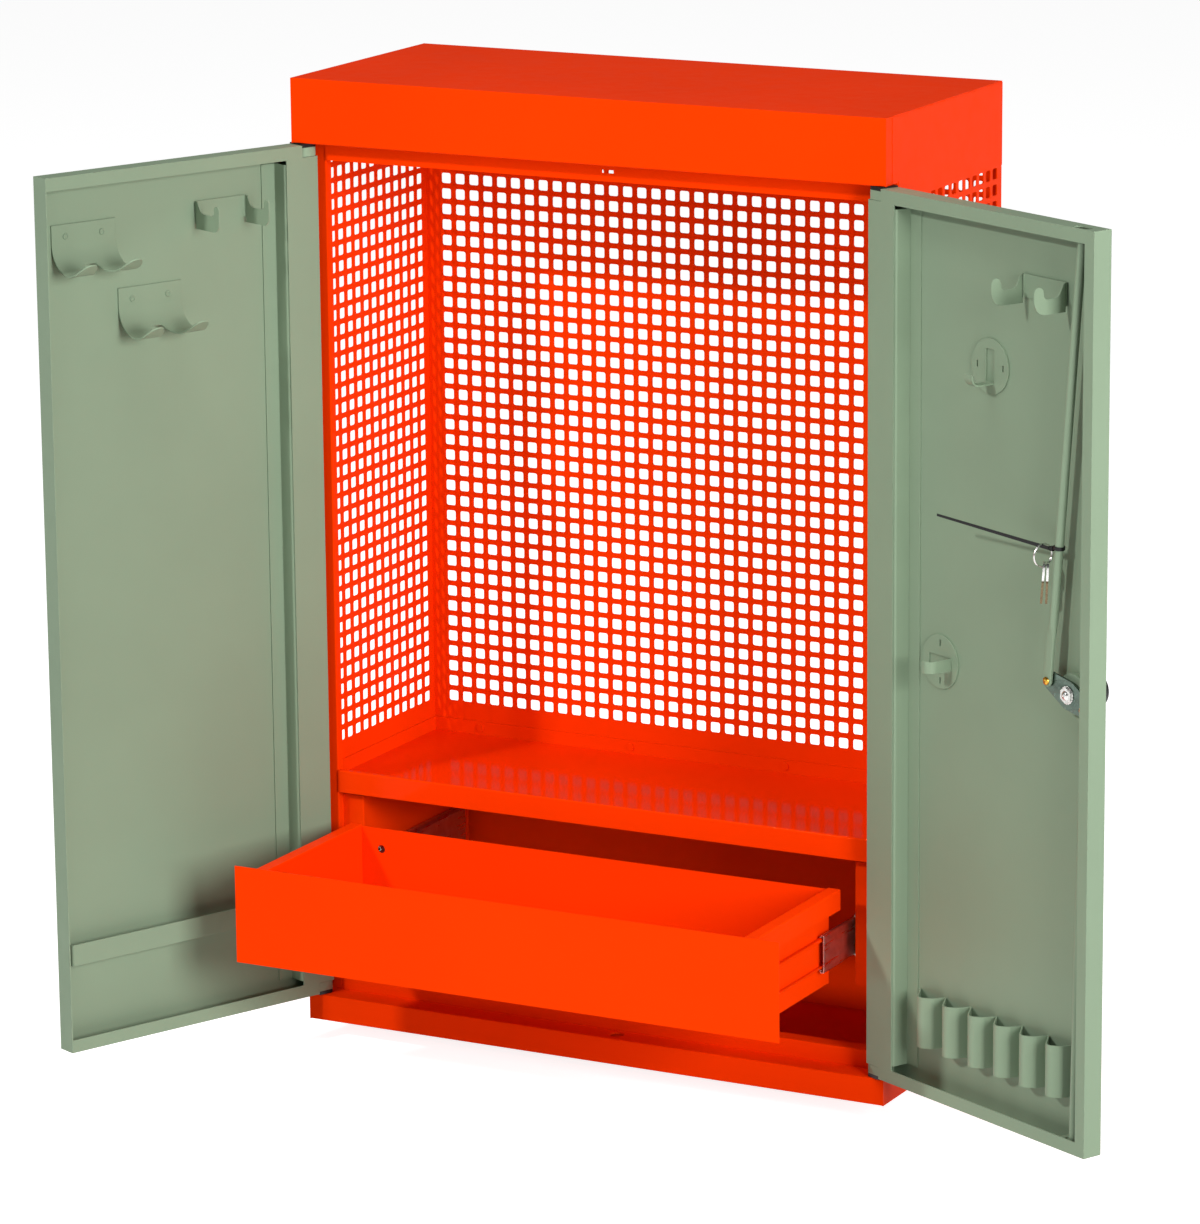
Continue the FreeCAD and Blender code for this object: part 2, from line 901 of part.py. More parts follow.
def wide_hook(place, top):
    """A curved rest: one plate that sweeps out from the door and ends in two rounded tongues."""
    bottom = top - wide_hook_tall
    tip = door_sheet + wide_hook_out
    path = [(door_sheet, top), (door_sheet, bottom), (tip, bottom + wide_hook_tip)]
    along = vec(wide_hook_width, 0, 0)
    plate = folded(path, wide_hook_sheet, [wide_hook_curve], in_plane_x(place), along)
    root = door_sheet + wide_hook_valley_root
    low = bottom - overrun
    tall = vec(0, 0, wide_hook_tall + 2 * overrun)
    keep = [block((place, place + wide_hook_width), (0, root), (low, low + tall.z))]
    tongue = wide_hook_width / 2
    for start in (place, place + tongue):
        points = [
            (start, root - wide_hook_tongue_round),
            (start + tongue, root - wide_hook_tongue_round),
            (start + tongue, tip),
            (start, tip),
        ]
        rounds = [0, 0, wide_hook_tongue_round, wide_hook_tongue_round]
        keep.append(prism(points, rounds, in_plane_z(low), tall))
    return plate.common(fuse(keep)).removeSplitter()


def hook_rivets(place, top):
    face = door_sheet + wide_hook_sheet
    heads = []
    for u in (place + hook_rivet_inset, place + wide_hook_width - hook_rivet_inset):
        centre = vec(u, face, top - hook_rivet_drop)
        heads.append(flat_head(hook_rivet_radius, hook_rivet_head, centre, vec(0, 1, 0)))
    return heads


def twin_hook(place, top):
    """A plate with two turned-out ears, each cut as an upright hook."""
    low = top - twin_tall
    face = door_sheet + twin_sheet
    plate = block((place, place + twin_width), (door_sheet, face), (low + twin_plate_drop, top))
    tip = door_sheet + twin_out
    mouth_start = door_sheet + twin_root
    mouth_end = mouth_start + twin_mouth
    points = [
        (door_sheet, top),
        (door_sheet, low),
        (tip, low),
        (tip, top - twin_plate_drop),
        (mouth_end, top - twin_plate_drop),
        (mouth_end, low + twin_floor),
        (mouth_start, low + twin_floor),
        (mouth_start, top),
    ]
    nose = (tip - mouth_end) / 2 * full_round_share
    mouth = twin_mouth / 2 * full_round_share
    radii = [0, 0, twin_round, nose, nose, mouth, mouth, 0]
    ears = []
    for start in (place, place + twin_width - twin_sheet):
        ears.append(prism(points, radii, in_plane_x(start), vec(twin_sheet, 0, 0)))
    return fuse([plate] + ears)


def retaining_bar():
    path = [
        (bar_start, door_sheet),
        (bar_start, door_sheet + bar_out),
        (bar_end, door_sheet + bar_out),
        (bar_end, door_sheet),
    ]
    return folded(path, -bar_sheet, [bar_bend, bar_bend], in_plane_z(bar_low), vec(0, 0, bar_tall))


def hook_disc(place, level, hole_ways):
    """The round plate under a hook, with its two fixing holes."""
    inwards = vec(0, 1, 0)
    disc = regular(ring_sides, disc_radius, vec(place, door_sheet, level), inwards, disc_sheet)
    holes = []
    for way in (-1, 1):
        reach = way * disc_hole_spacing / 2
        u = place + reach * hole_ways[0]
        z = level + reach * hole_ways[1]
        us = (u - disc_hole_width / 2, u + disc_hole_width / 2)
        holes.append(
            block(
                us,
                (0, door_sheet + disc_sheet + overrun),
                (z - disc_hole_tall / 2, z + disc_hole_tall / 2),
            )
        )
    return disc, holes


def slot_hook():
    """A round plate with a tongue turned out of an upright slot."""
    disc, holes = hook_disc(slot_hook_place, slot_hook_height, (1, 0))
    us = (slot_hook_place - slot_hook_width / 2, slot_hook_place + slot_hook_width / 2)
    low = slot_hook_height - slot_hook_tall / 2
    window = block(us, (0, door_sheet + disc_sheet + overrun), (low, low + slot_hook_tall))
    path = [
        (door_sheet, low + disc_sheet),
        (door_sheet + slot_hook_out, low + disc_sheet),
        (door_sheet + slot_hook_out, low + slot_hook_tip),
    ]
    tongue = folded(
        path, -disc_sheet, [slot_hook_curve], in_plane_x(us[0]), vec(slot_hook_width, 0, 0)
    )
    return fuse([cut(disc, holes + [window]), tongue])


def strap_hook():
    """A round plate with a flat strap turned out sideways, standing off the door."""
    disc, holes = hook_disc(strap_hook_place, strap_hook_height, (0, 1))
    zs = (strap_hook_height - strap_hook_width / 2, strap_hook_height + strap_hook_width / 2)
    right = strap_hook_place + strap_hook_window / 2
    left = strap_hook_place - strap_hook_window / 2
    window = block((left, right), (0, door_sheet + disc_sheet + overrun), zs)
    path = [
        (right, door_sheet),
        (right, door_sheet + strap_hook_out),
        (left - strap_hook_flare, door_sheet + strap_hook_out - strap_hook_flare),
    ]
    strap = folded(path, disc_sheet, [strap_hook_curve], in_plane_z(zs[0]), vec(0, 0, strap_hook_width))
    return fuse([cut(disc, holes + [window]), strap])


def screwdriver_strip():
    """A waved strip: each lobe stands off the door and holds one blade."""
    path = [(strip_start, door_sheet)]
    for lobe in range(strip_lobes):
        start = strip_start + lobe * strip_pitch + (strip_pitch - strip_face) / 2
        path.append((start - strip_slope, door_sheet))
        path.append((start, strip_out))
        path.append((start + strip_face, strip_out))
        path.append((start + strip_face + strip_slope, door_sheet))
    path.append((strip_start + strip_lobes * strip_pitch, door_sheet))
    folds = [0, strip_crown_bend, strip_crown_bend, 0] * strip_lobes
    return folded(path, strip_sheet, folds, in_plane_z(strip_low), vec(0, 0, strip_tall))


def rod_guide():
    """The angle bracket above the lower flange that steadies the lower rod."""
    level = door_low + guide_rise
    end = door_thick - 2 * door_sheet
    path = [(door_sheet, level + guide_foot), (door_sheet, level), (end, level)]
    start = rod_guide_place - guide_width / 2
    wide = min(guide_width, door_u1 - door_sheet - seat_gap - start)
    angle = folded(path, door_sheet, [bend], in_plane_x(start), vec(wide, 0, 0))
    return cut(angle, [rod_slot(level - overrun, level + overrun)])


# Lock


def ear_place(way):
    """The rivet that carries a rod: way 1 for the upper rod, -1 for the lower one."""
    angle = math.radians(cam_angle)
    reach = way * cam_arm
    return (lock_place + reach * math.cos(angle), lock_height + reach * math.sin(angle))


def lock_point(d):
    return vec(lock_place, d, lock_height)


def lock_knob():
    """The round black knob outside the door, cut away on both sides of its grip."""
    base = cup_depth - door_sheet - seat_gap
    inwards = vec(0, 1, 0)
    neck = regular(ring_sides, knob_neck_radius, lock_point(base - knob_neck), inwards, knob_neck)
    head = regular(ring_sides, knob_radius, lock_point(-knob_out), inwards, knob_out - knob_neck + base)
    body = neck.fuse(head).removeSplitter()
    rim = [edge for edge in body.Edges if edge.BoundBox.YMax < -knob_out * full_round_share]
    body = body.makeChamfer(knob_round * half_share, rim)
    scoops = []
    for way in (-1, 1):
        grip_side = lock_place + way * knob_grip / 2
        us = sorted((grip_side, grip_side + way * 2 * knob_radius))
        zs = (lock_height - 2 * knob_radius, lock_height + 2 * knob_radius)
        scoops.append(block(us, (-knob_out - overrun, -knob_neck), zs))
    bore = cylinder_radius + pin_gap
    seat = Part.makeCylinder(bore, 2 * overrun + pin_gap, lock_point(-knob_out - overrun), vec(0, 1, 0))
    stem = Part.makeCylinder(spindle_radius, knob_neck, lock_point(base - knob_neck), vec(0, 1, 0))
    return cut(body, scoops + [seat, stem])


def lock_cylinder():
    """The key cylinder in the knob's face."""
    face = -knob_out - cylinder_proud
    barrel = regular(ring_sides, cylinder_radius, lock_point(face), vec(0, 1, 0), overrun + cylinder_proud)
    slot = block(
        (lock_place - key_slot_width / 2, lock_place + key_slot_width / 2),
        (face - overrun, face + key_slot_deep),
        (lock_height - key_slot_length / 2, lock_height + key_slot_length / 2),
    )
    return barrel.cut(slot)


def lock_spindle():
    base = cup_depth - door_sheet - seat_gap - knob_neck
    end = cam_depth + cam_thick
    return Part.makeCylinder(spindle_radius, end - base, lock_point(base), vec(0, 1, 0))


def cam_plate():
    """The zinc lever: a round hub between two ears, one for each rod."""
    inwards = vec(0, 1, 0)
    hub = regular(ring_sides, cam_hub_radius, lock_point(cam_depth), inwards, cam_thick)
    pieces = [hub]
    middle_point = lock_point(cam_depth - overrun / 2)
    holes = [Part.makeCylinder(spindle_radius, cam_thick + overrun, middle_point, inwards)]
    for way in (1, -1):
        u, z = ear_place(way)
        pieces.append(regular(head_sides, cam_ear_radius, vec(u, cam_depth, z), inwards, cam_thick))
        away = vec(u - lock_place, 0, z - lock_height).normalize()
        across = away.cross(inwards)
        hub_side = across * cam_hub_radius
        ear_side = across * cam_ear_radius
        middle = lock_point(cam_depth)
        ear = vec(u, cam_depth, z)
        corners = [middle + hub_side, ear + ear_side, ear - ear_side, middle - hub_side]
        web = Part.makePolygon(corners + corners[:1])
        pieces.append(Part.Face(web).extrude(inwards * cam_thick))
        rivet_point = vec(u, cam_depth - overrun / 2, z)
        holes.append(Part.makeCylinder(rivet_radius, cam_thick + overrun, rivet_point, inwards))
    return cut(fuse(pieces), holes)


def lock_screw():
    """The washer, nut and screw head that clamp the cam plate on the spindle."""
    start = cam_depth + cam_thick
    inwards = vec(0, 1, 0)
    washer = Part.makeCylinder(lock_nut_radius, lock_nut_thick / 3, lock_point(start), inwards)
    nut = regular(
        nut_sides,
        lock_nut_radius * full_round_share,
        lock_point(start + lock_nut_thick / 3),
        inwards,
        lock_nut_thick / 2,
    )
    top = start + lock_nut_thick / 3 + lock_nut_thick / 2
    screw = flat_head(lock_screw_radius, lock_screw_head, lock_point(top), inwards)
    return fuse([washer, nut, screw])


def rod_face():
    """How far in the rods' flattened ends start: just clear of the cam plate."""
    return cam_depth + cam_thick + slide_gap


def rod_rivets():
    inwards = vec(0, 1, 0)
    rivets = []
    for way in (1, -1):
        u, z = ear_place(way)
        long = cam_thick + slide_gap + rod_flat_thick + slide_gap
        shank = Part.makeCylinder(rivet_radius, long, vec(u, cam_depth, z), inwards)
        head = flat_head(rivet_head_radius, rivet_head, vec(u, cam_depth + long, z), inwards)
        rivets.append(shank.fuse(head).removeSplitter())
    return Part.makeCompound(rivets)


def locking_rod(way):
    """A round rod with a flattened end on its rivet: way 1 for the upper rod, -1 for the lower one."""
    u, z = ear_place(way)
    edge = door_high if way > 0 else door_low
    start = vec(u, 0, z)
    end = vec(rod_guide_place, 0, edge - way * rod_tip_gap)
    axis = (end - start).normalize()
    across = axis.cross(vec(0, 1, 0))
    inwards = vec(0, rod_face(), 0)
    deep = vec(0, rod_flat_thick, 0)
    half_flat = across * (rod_flat_width / 2)
    stem = start + axis * rod_flat_length
    corners = [start + half_flat, stem + half_flat, stem - half_flat, start - half_flat]
    flat = Part.makePolygon(corners + corners[:1])
    flat.translate(inwards)
    eye = Part.makeCylinder(rod_flat_width / 2, rod_flat_thick, start + inwards, vec(0, 1, 0))
    blade = Part.Face(flat).extrude(deep).fuse(eye)
    centre = stem + vec(0, rod_depth, 0)
    round_start = centre + axis * rod_taper_length
    nose = end + vec(0, rod_depth, 0)
    shaft = Part.makeCylinder(rod_radius, (nose - round_start).Length, round_start, axis)
    tip_edges = [edge for edge in shaft.Edges if (edge.CenterOfMass - nose).Length < rod_radius / 2]
    shaft = shaft.makeChamfer(rod_nose, tip_edges)
    flat_ring = Part.makePolygon(
        [
            stem + half_flat + inwards,
            stem + half_flat + inwards + deep,
            stem - half_flat + inwards + deep,
            stem - half_flat + inwards,
            stem + half_flat + inwards,
        ]
    )
    mid = rod_radius * math.sqrt(half_share)
    side = across * mid
    low = vec(0, rod_depth - mid, 0)
    high = vec(0, rod_depth + mid, 0)
    far = stem + axis * rod_taper_length
    corners = [far + side + low, far + side + high, far - side + high, far - side + low]
    square_ring = Part.makePolygon(corners + corners[:1])
    taper = Part.makeLoft([flat_ring, square_ring], True, True)
    rod = fuse([blade, taper, shaft])
    hole = Part.makeCylinder(
        rivet_radius + pin_gap,
        2 * overrun,
        start + inwards - vec(0, overrun / 2, 0),
        vec(0, 1, 0),
    )
    return cut(rod, [hole])


# Cable tie, ring and keys


def rod_axis():
    """The upper rod's foot and direction, on its centre line."""
    u, z = ear_place(1)
    foot = vec(u, rod_depth, z)
    tip = vec(rod_guide_place, rod_depth, door_high - rod_tip_gap)
    return foot, (tip - foot).normalize()


def tie_centre():
    foot, axis = rod_axis()
    return foot + axis * ((tie_height - foot.z) / axis.z)


def tail_ends():
    """The tie's tail: it leaves the head beside the rod and runs back across the door."""
    centre = tie_centre()
    head = centre + vec(-rod_radius - tie_head_long, rod_radius, 0)
    return head, head + vec(-tie_tail_back, tie_tail_out, tie_tail_rise)


def cable_tie():
    centre = tie_centre()
    foot, axis = rod_axis()
    start = centre - axis * (tie_wide / 2)
    band = Part.makeCylinder(rod_radius + tie_thick, tie_wide, start, axis)
    head_low = centre + vec(-rod_radius - tie_head_long, rod_radius - tie_head_tall / 2, -tie_head_tall / 2)
    head = Part.makeBox(tie_head_long, tie_head_tall, tie_head_tall, head_low)
    root, end = tail_ends()
    along = (end - root).normalize()
    flat = along.cross(up).normalize()
    across = flat.cross(along).normalize()
    begin = root + along * (-tie_head_long / 2)
    corner = begin - flat * (tie_thick / 2) - across * (tie_wide / 2)
    section = Part.makePolygon(
        [
            corner,
            corner + flat * tie_thick,
            corner + flat * tie_thick + across * tie_wide,
            corner + across * tie_wide,
            corner,
        ]
    )
    tail = Part.Face(section).extrude(end - begin)
    bore = Part.makeCylinder(rod_radius + pin_gap, 4 * tie_wide, centre - axis * (2 * tie_wide), axis)
    return cut(fuse([band, head, tail]), [bore])


def ring_frame():
    """The ring's centre and facing: it hangs with its top just over the tail."""
    root, end = tail_ends()
    along = (end - root).normalize()
    touch = root + along * ring_along_tail
    facing = vec(*ring_facing_shares, 0).normalize()
    drop = ring_radius - ring_wire - slide_gap - tie_wide / 2
    return touch - up * drop, facing


def key_ring():
    """A many-sided ring of wire, square in section."""
    centre, facing = ring_frame()
    start = centre - facing * ring_wire
    outer = regular(ring_sides, ring_radius + ring_wire, start, facing, 2 * ring_wire)
    inner = regular(ring_sides, ring_radius - ring_wire, start, facing, 2 * ring_wire)
    return outer.cut(inner)


def hung_key(way):
    """A flat key hanging from the ring's lowest point, a little to one side of the other key."""
    centre, facing = ring_frame()
    plate = regular(ring_sides, key_bow_radius, vec(0, 0, -key_thick / 2), up, key_thick)
    blade_start = -key_bow_radius - key_blade_length
    blade = block(
        (-key_blade_width / 2, key_blade_width / 2), (blade_start, 0), (-key_thick / 2, key_thick / 2)
    )
    eye_place = key_bow_radius - key_eye_radius - ring_wire
    eye = regular(head_sides, key_eye_radius, vec(0, eye_place, -key_thick), up, 2 * key_thick)
    bits = []
    for i in range(key_bits):
        y = blade_start + (i + 1) * key_blade_length / (key_bits + 2)
        deep = key_bit * (1 + i % 2) / 2
        corner = key_blade_width / 2
        notch = Part.makePolygon(
            [
                vec(corner + key_bit, y - key_bit - deep, -key_thick),
                vec(corner - deep, y, -key_thick),
                vec(corner + key_bit, y + key_bit + deep, -key_thick),
                vec(corner + key_bit, y - key_bit - deep, -key_thick),
            ]
        )
        bits.append(Part.Face(notch).extrude(vec(0, 0, 2 * key_thick)))
    key = cut(fuse([plate, blade]), [eye] + bits)
    key.translate(vec(0, -eye_place, 0))
    key.rotate(vec(0, 0, 0), vec(1, 0, 0), 90)
    sideways = up.cross(facing).normalize()
    turn = math.degrees(math.atan2(sideways.x, -sideways.y))
    key.rotate(vec(0, 0, 0), up, turn)
    key.rotate(vec(0, 0, 0), sideways, way * key_lean_angle)
    hang = ring_radius + key_eye_radius - ring_wire - 2 * slide_gap
    low = centre - up * hang + sideways * (way * key_apart)
    key.translate(low + up * (ring_radius - math.sqrt(ring_radius ** 2 - key_apart ** 2)))
    return key


# Writing the pieces

save("top_hood", top_hood())
save("base_pan", base_pan())
save("back_panel", back_panel())
save("shelf_tray", shelf_tray())
save("shelf_screws", shelf_screws())
save("hinge_pins", hinge_pins())
save("drawer_box", drawer_box())
save("drawer_front", drawer_front())

both_sides = {
    "side_panel": left_side_panel,
    "stile": left_stile,
    "runner_bracket": left_runner_bracket,
    "runner_outer": left_outer_member,
    "runner_middle": left_mid_member,
    "runner_inner": left_inner_member,
    "outer_ball_cages": left_outer_cages,
    "inner_ball_cages": left_inner_cages,
}
for name, make in both_sides.items():
    save("left_" + name, make())
    save("right_" + name, mirrored(make()))

left_pieces = {
    "left_door_panel": door_panel(0),
    "left_door_stiffener": door_stiffener(),
    "left_door_bushes": door_bushes(),
    "upper_wide_hook": wide_hook(upper_wide_hook_place, door_high - upper_wide_hook_drop),
    "lower_wide_hook": wide_hook(lower_wide_hook_place, door_high - lower_wide_hook_drop),
    "wide_hook_rivets": Part.makeCompound(
        hook_rivets(upper_wide_hook_place, door_high - upper_wide_hook_drop)
        + hook_rivets(lower_wide_hook_place, door_high - lower_wide_hook_drop)
    ),
    "left_twin_hook": twin_hook(left_twin_place, door_high - left_twin_drop),
    "retaining_bar": retaining_bar(),
}
for name, shape in left_pieces.items():
    save(name, hang_left(shape))

right_pieces = {
    "right_door_panel": right_door_panel(),
    "right_door_stiffener": door_stiffener(),
    "right_door_bushes": door_bushes(),
    "right_twin_hook": twin_hook(right_twin_place, door_high - right_twin_drop),
    "slot_hook": slot_hook(),
    "strap_hook": strap_hook(),
    "screwdriver_strip": screwdriver_strip(),
    "rod_guide": rod_guide(),
    "lock_knob": lock_knob(),
    "lock_cylinder": lock_cylinder(),
    "lock_spindle": lock_spindle(),
    "cam_plate": cam_plate(),
    "lock_screw": lock_screw(),
    "rod_rivets": rod_rivets(),
    "upper_rod": locking_rod(1),
    "lower_rod": locking_rod(-1),
    "cable_tie": cable_tie(),
    "key_ring": key_ring(),
    "front_key": hung_key(1),
    "rear_key": hung_key(-1),
}
for name, shape in right_pieces.items():
    save(name, hang_right(shape))
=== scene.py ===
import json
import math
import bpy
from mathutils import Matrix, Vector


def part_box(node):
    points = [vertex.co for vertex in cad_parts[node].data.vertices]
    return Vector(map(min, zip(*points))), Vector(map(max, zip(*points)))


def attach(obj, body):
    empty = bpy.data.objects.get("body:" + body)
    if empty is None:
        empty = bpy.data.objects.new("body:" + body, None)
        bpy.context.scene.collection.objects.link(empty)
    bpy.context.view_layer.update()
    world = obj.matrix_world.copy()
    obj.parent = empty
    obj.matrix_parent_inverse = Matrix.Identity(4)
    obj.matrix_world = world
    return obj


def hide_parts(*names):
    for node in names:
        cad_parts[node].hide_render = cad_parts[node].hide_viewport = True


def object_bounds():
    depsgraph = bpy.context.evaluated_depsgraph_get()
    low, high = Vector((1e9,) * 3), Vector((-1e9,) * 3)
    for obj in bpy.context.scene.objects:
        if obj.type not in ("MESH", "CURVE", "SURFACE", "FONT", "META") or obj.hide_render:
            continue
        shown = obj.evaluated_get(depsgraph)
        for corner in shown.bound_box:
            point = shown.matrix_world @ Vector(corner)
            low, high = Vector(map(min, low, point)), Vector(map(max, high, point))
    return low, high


bl_info = {
    "name": "Tool cabinet",
    "version": (1, 0, 0),
    "blender": (4, 5, 0),
    "location": "3D View > Sidebar > Cabinet",
    "description": "Dresses a wall cabinet for tools with paint, perforated walls, hooks, runners and a lock",
    "category": "Object",
}

import bmesh
import bpy
from mathutils import Matrix, Vector

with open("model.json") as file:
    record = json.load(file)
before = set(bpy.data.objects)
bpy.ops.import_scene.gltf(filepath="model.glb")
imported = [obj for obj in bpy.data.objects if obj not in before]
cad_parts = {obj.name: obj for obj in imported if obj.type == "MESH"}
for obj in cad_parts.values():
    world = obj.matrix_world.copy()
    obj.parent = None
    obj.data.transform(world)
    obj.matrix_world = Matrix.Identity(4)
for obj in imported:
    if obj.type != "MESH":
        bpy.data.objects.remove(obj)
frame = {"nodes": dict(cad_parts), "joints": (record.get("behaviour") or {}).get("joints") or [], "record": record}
cad_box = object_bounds()

NODES = frame["nodes"]
JOINTS = {joint["name"]: joint for joint in frame["joints"]}
MM = 0.001
LEVER_LEAN = math.radians(160)


# Small tools for materials


class Finish:
    """A node material that is built from its shader backwards."""

    def __init__(self, name):
        self.material = bpy.data.materials.get(name) or bpy.data.materials.new(name)
        self.material.use_nodes = True
        self.tree = self.material.node_tree
        self.shader = self.tree.nodes["Principled BSDF"]
        self.place = self.add("ShaderNodeTexCoord").outputs["Object"]

    def add(self, kind, **values):
        node = self.tree.nodes.new(kind)
        for key, value in values.items():
            setattr(node, key, value)
        return node

    def join(self, start, end):
        self.tree.links.new(start, end)

    def set(self, **values):
        for key, value in values.items():
            self.shader.inputs[key.replace("_", " ")].default_value = value

    def grain(self, scale, detail=2.0, stretch=None):
        """Noise on the piece's own coordinates, stretched along an axis where asked."""
        noise = self.add("ShaderNodeTexNoise")
        noise.inputs["Scale"].default_value = scale
        noise.inputs["Detail"].default_value = detail
        if stretch:
            mapping = self.add("ShaderNodeMapping")
            mapping.inputs["Scale"].default_value = stretch
            self.join(self.place, mapping.inputs["Vector"])
            self.join(mapping.outputs["Vector"], noise.inputs["Vector"])
        else:
            self.join(self.place, noise.inputs["Vector"])
        return noise.outputs["Fac"]

    def spread(self, value, low, high, start=0.3, end=0.7):
        spread = self.add("ShaderNodeMapRange")
        for key, number in (("From Min", start), ("From Max", end), ("To Min", low), ("To Max", high)):
            spread.inputs[key].default_value = number
        self.join(value, spread.inputs["Value"])
        return spread.outputs["Result"]

    def colour(self, share, dark, light):
        mix = self.add("ShaderNodeMix", data_type="RGBA")
        mix.inputs["A"].default_value = (*dark, 1)
        mix.inputs["B"].default_value = (*light, 1)
        self.join(share, mix.inputs["Factor"])
        self.join(mix.outputs["Result"], self.shader.inputs["Base Color"])

    def bumps(self, height, strength, distance):
        bump = self.add("ShaderNodeBump")
        bump.inputs["Strength"].default_value = strength
        bump.inputs["Distance"].default_value = distance
        self.join(height, bump.inputs["Height"])
        self.join(bump.outputs["Normal"], self.shader.inputs["Normal"])


def shade(colour, share):
    return tuple(channel * share for channel in colour[:3])


def powder_coat(name, colour, gloss, shine):
    """Baked powder paint: fine orange peel, slow changes of tone and a soft sheen."""
    finish = Finish(name)
    tone = finish.spread(finish.grain(5, 4), 0, 1)
    finish.colour(tone, shade(colour, 0.95), shade(colour, 1.03))
    rough = finish.spread(finish.grain(60, 3), 0.96 - gloss, 1.04 - gloss)
    finish.join(rough, finish.shader.inputs["Roughness"])
    finish.bumps(finish.grain(700, 3), 0.12, 0.00025)
    tint = Vector(colour) / max(colour)
    finish.set(IOR=1.5, Specular_IOR_Level=shine, Specular_Tint=(*tint, 1))
    return finish.material


def zinc_plate(name, colour, brushed=None):
    """Bright zinc with faint clouds, and brush lines where the sheet was rolled."""
    finish = Finish(name)
    cloud = finish.spread(finish.grain(90, 3), 0, 1)
    finish.colour(cloud, shade(colour, 0.82), shade(colour, 1.08))
    lines = finish.grain(400, 3, brushed or (1, 1, 1))
    finish.join(finish.spread(lines, 0.24, 0.4), finish.shader.inputs["Roughness"])
    finish.bumps(lines, 0.1, 0.0001)
    finish.set(Metallic=1.0)
    return finish.material


def moulded_plastic(name, colour):
    finish = Finish(name)
    tone = finish.spread(finish.grain(150, 2), 0, 1)
    finish.colour(tone, shade(colour, 0.85), shade(colour, 1.2))
    finish.join(finish.spread(finish.grain(500, 2), 0.35, 0.5), finish.shader.inputs["Roughness"])
    finish.bumps(finish.grain(1500, 2), 0.08, 0.0001)
    finish.set(Specular_IOR_Level=0.3)
    return finish.material


def turned_metal(name, colour):
    """Brass or nickel from the lathe, a little dulled in patches."""
    finish = Finish(name)
    tone = finish.spread(finish.grain(400, 3), 0, 1)
    finish.colour(tone, shade(colour, 0.8), shade(colour, 1.05))
    finish.join(finish.spread(finish.grain(900, 2), 0.18, 0.34), finish.shader.inputs["Roughness"])
    finish.set(Metallic=1.0)
    return finish.material


# Small tools for pieces


def piece_from(mesh, name, body, finish, replaces=(), smooth=35, edge=0.0):
    """Turns a bmesh in metres into an object that rides on a body, smooth but for its sharp edges."""
    # A door's frame can mirror the mesh, and its face normals are stale until they are updated
    mesh.normal_update()
    bmesh.ops.recalc_face_normals(mesh, faces=mesh.faces[:])
    data = bpy.data.meshes.new(name)
    mesh.to_mesh(data)
    mesh.free()
    thing = bpy.data.objects.new(name, data)
    bpy.context.scene.collection.objects.link(thing)
    data.materials.append(material(finish))
    if smooth:
        data.shade_smooth()
        data.set_sharp_from_angle(angle=math.radians(smooth))
    if edge:
        rounding = thing.modifiers.new("edge", "BEVEL")
        rounding.width = edge * MM
        rounding.segments = 2
        rounding.limit_method = "ANGLE"
        rounding.angle_limit = math.radians(smooth)
        rounding.harden_normals = True
    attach(thing, body)
    if replaces:
        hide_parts(*replaces)
    return thing


def moved_verts(made):
    return [thing for thing in made["geom"] if isinstance(thing, bmesh.types.BMVert)]


def folded(points, bends, along, thick, toward, segments=8):
    """A strip folded at its inner points and drawn out along a direction, then given its sheet."""
    mesh = bmesh.new()
    corners = [mesh.verts.new(point) for point in points]
    edges = [mesh.edges.new(pair) for pair in zip(corners, corners[1:])]
    made = bmesh.ops.extrude_edge_only(mesh, edges=edges)
    bmesh.ops.translate(mesh, verts=moved_verts(made), vec=along)
    for before, at, after, radius in zip(points, points[1:], points[2:], bends):
        at = Vector(at)
        turn = (at - Vector(before)).angle(Vector(after) - at)
        fold = [
            edge
            for edge in mesh.edges
            if all((v.co - at).cross(Vector(along)).length < 0.01 for v in edge.verts)
        ]
        bmesh.ops.bevel(
            mesh,
            geom=fold,
            offset=radius * math.tan(turn / 2),
            offset_type="OFFSET",
            segments=segments,
            profile=0.5,
            affect="EDGES",
            material=-1,
        )
    mesh.normal_update()
    start = (Vector(points[0]) + Vector(points[1]) + Vector(along)) / 2
    first = min(mesh.faces, key=lambda face: (face.calc_center_median() - start).length)
    if first.normal.dot(Vector(toward)) > 0:
        bmesh.ops.reverse_faces(mesh, faces=mesh.faces[:])
        mesh.normal_update()
    bmesh.ops.solidify(mesh, geom=mesh.faces[:], thickness=thick)
    bmesh.ops.recalc_face_normals(mesh, faces=mesh.faces[:])
    return mesh


def rounded_loop(mesh, points, rounds, segments):
    """A closed outline whose corners are rounded where a radius is given."""
    corners = [mesh.verts.new((*point, 0)) for point in points]
    face = mesh.faces.new(corners)
    count = len(points)
    for i, radius in enumerate(rounds):
        if radius:
            at = Vector(points[i])
            turn = (at - Vector(points[i - 1])).angle(Vector(points[(i + 1) % count]) - at)
            bmesh.ops.bevel(
                mesh,
                geom=[corners[i]],
                offset=radius * math.tan(turn / 2),
                offset_type="OFFSET",
                segments=segments,
                profile=0.5,
                affect="VERTICES",
                material=-1,
            )
    bmesh.ops.delete(mesh, geom=mesh.faces[:], context="FACES_ONLY")


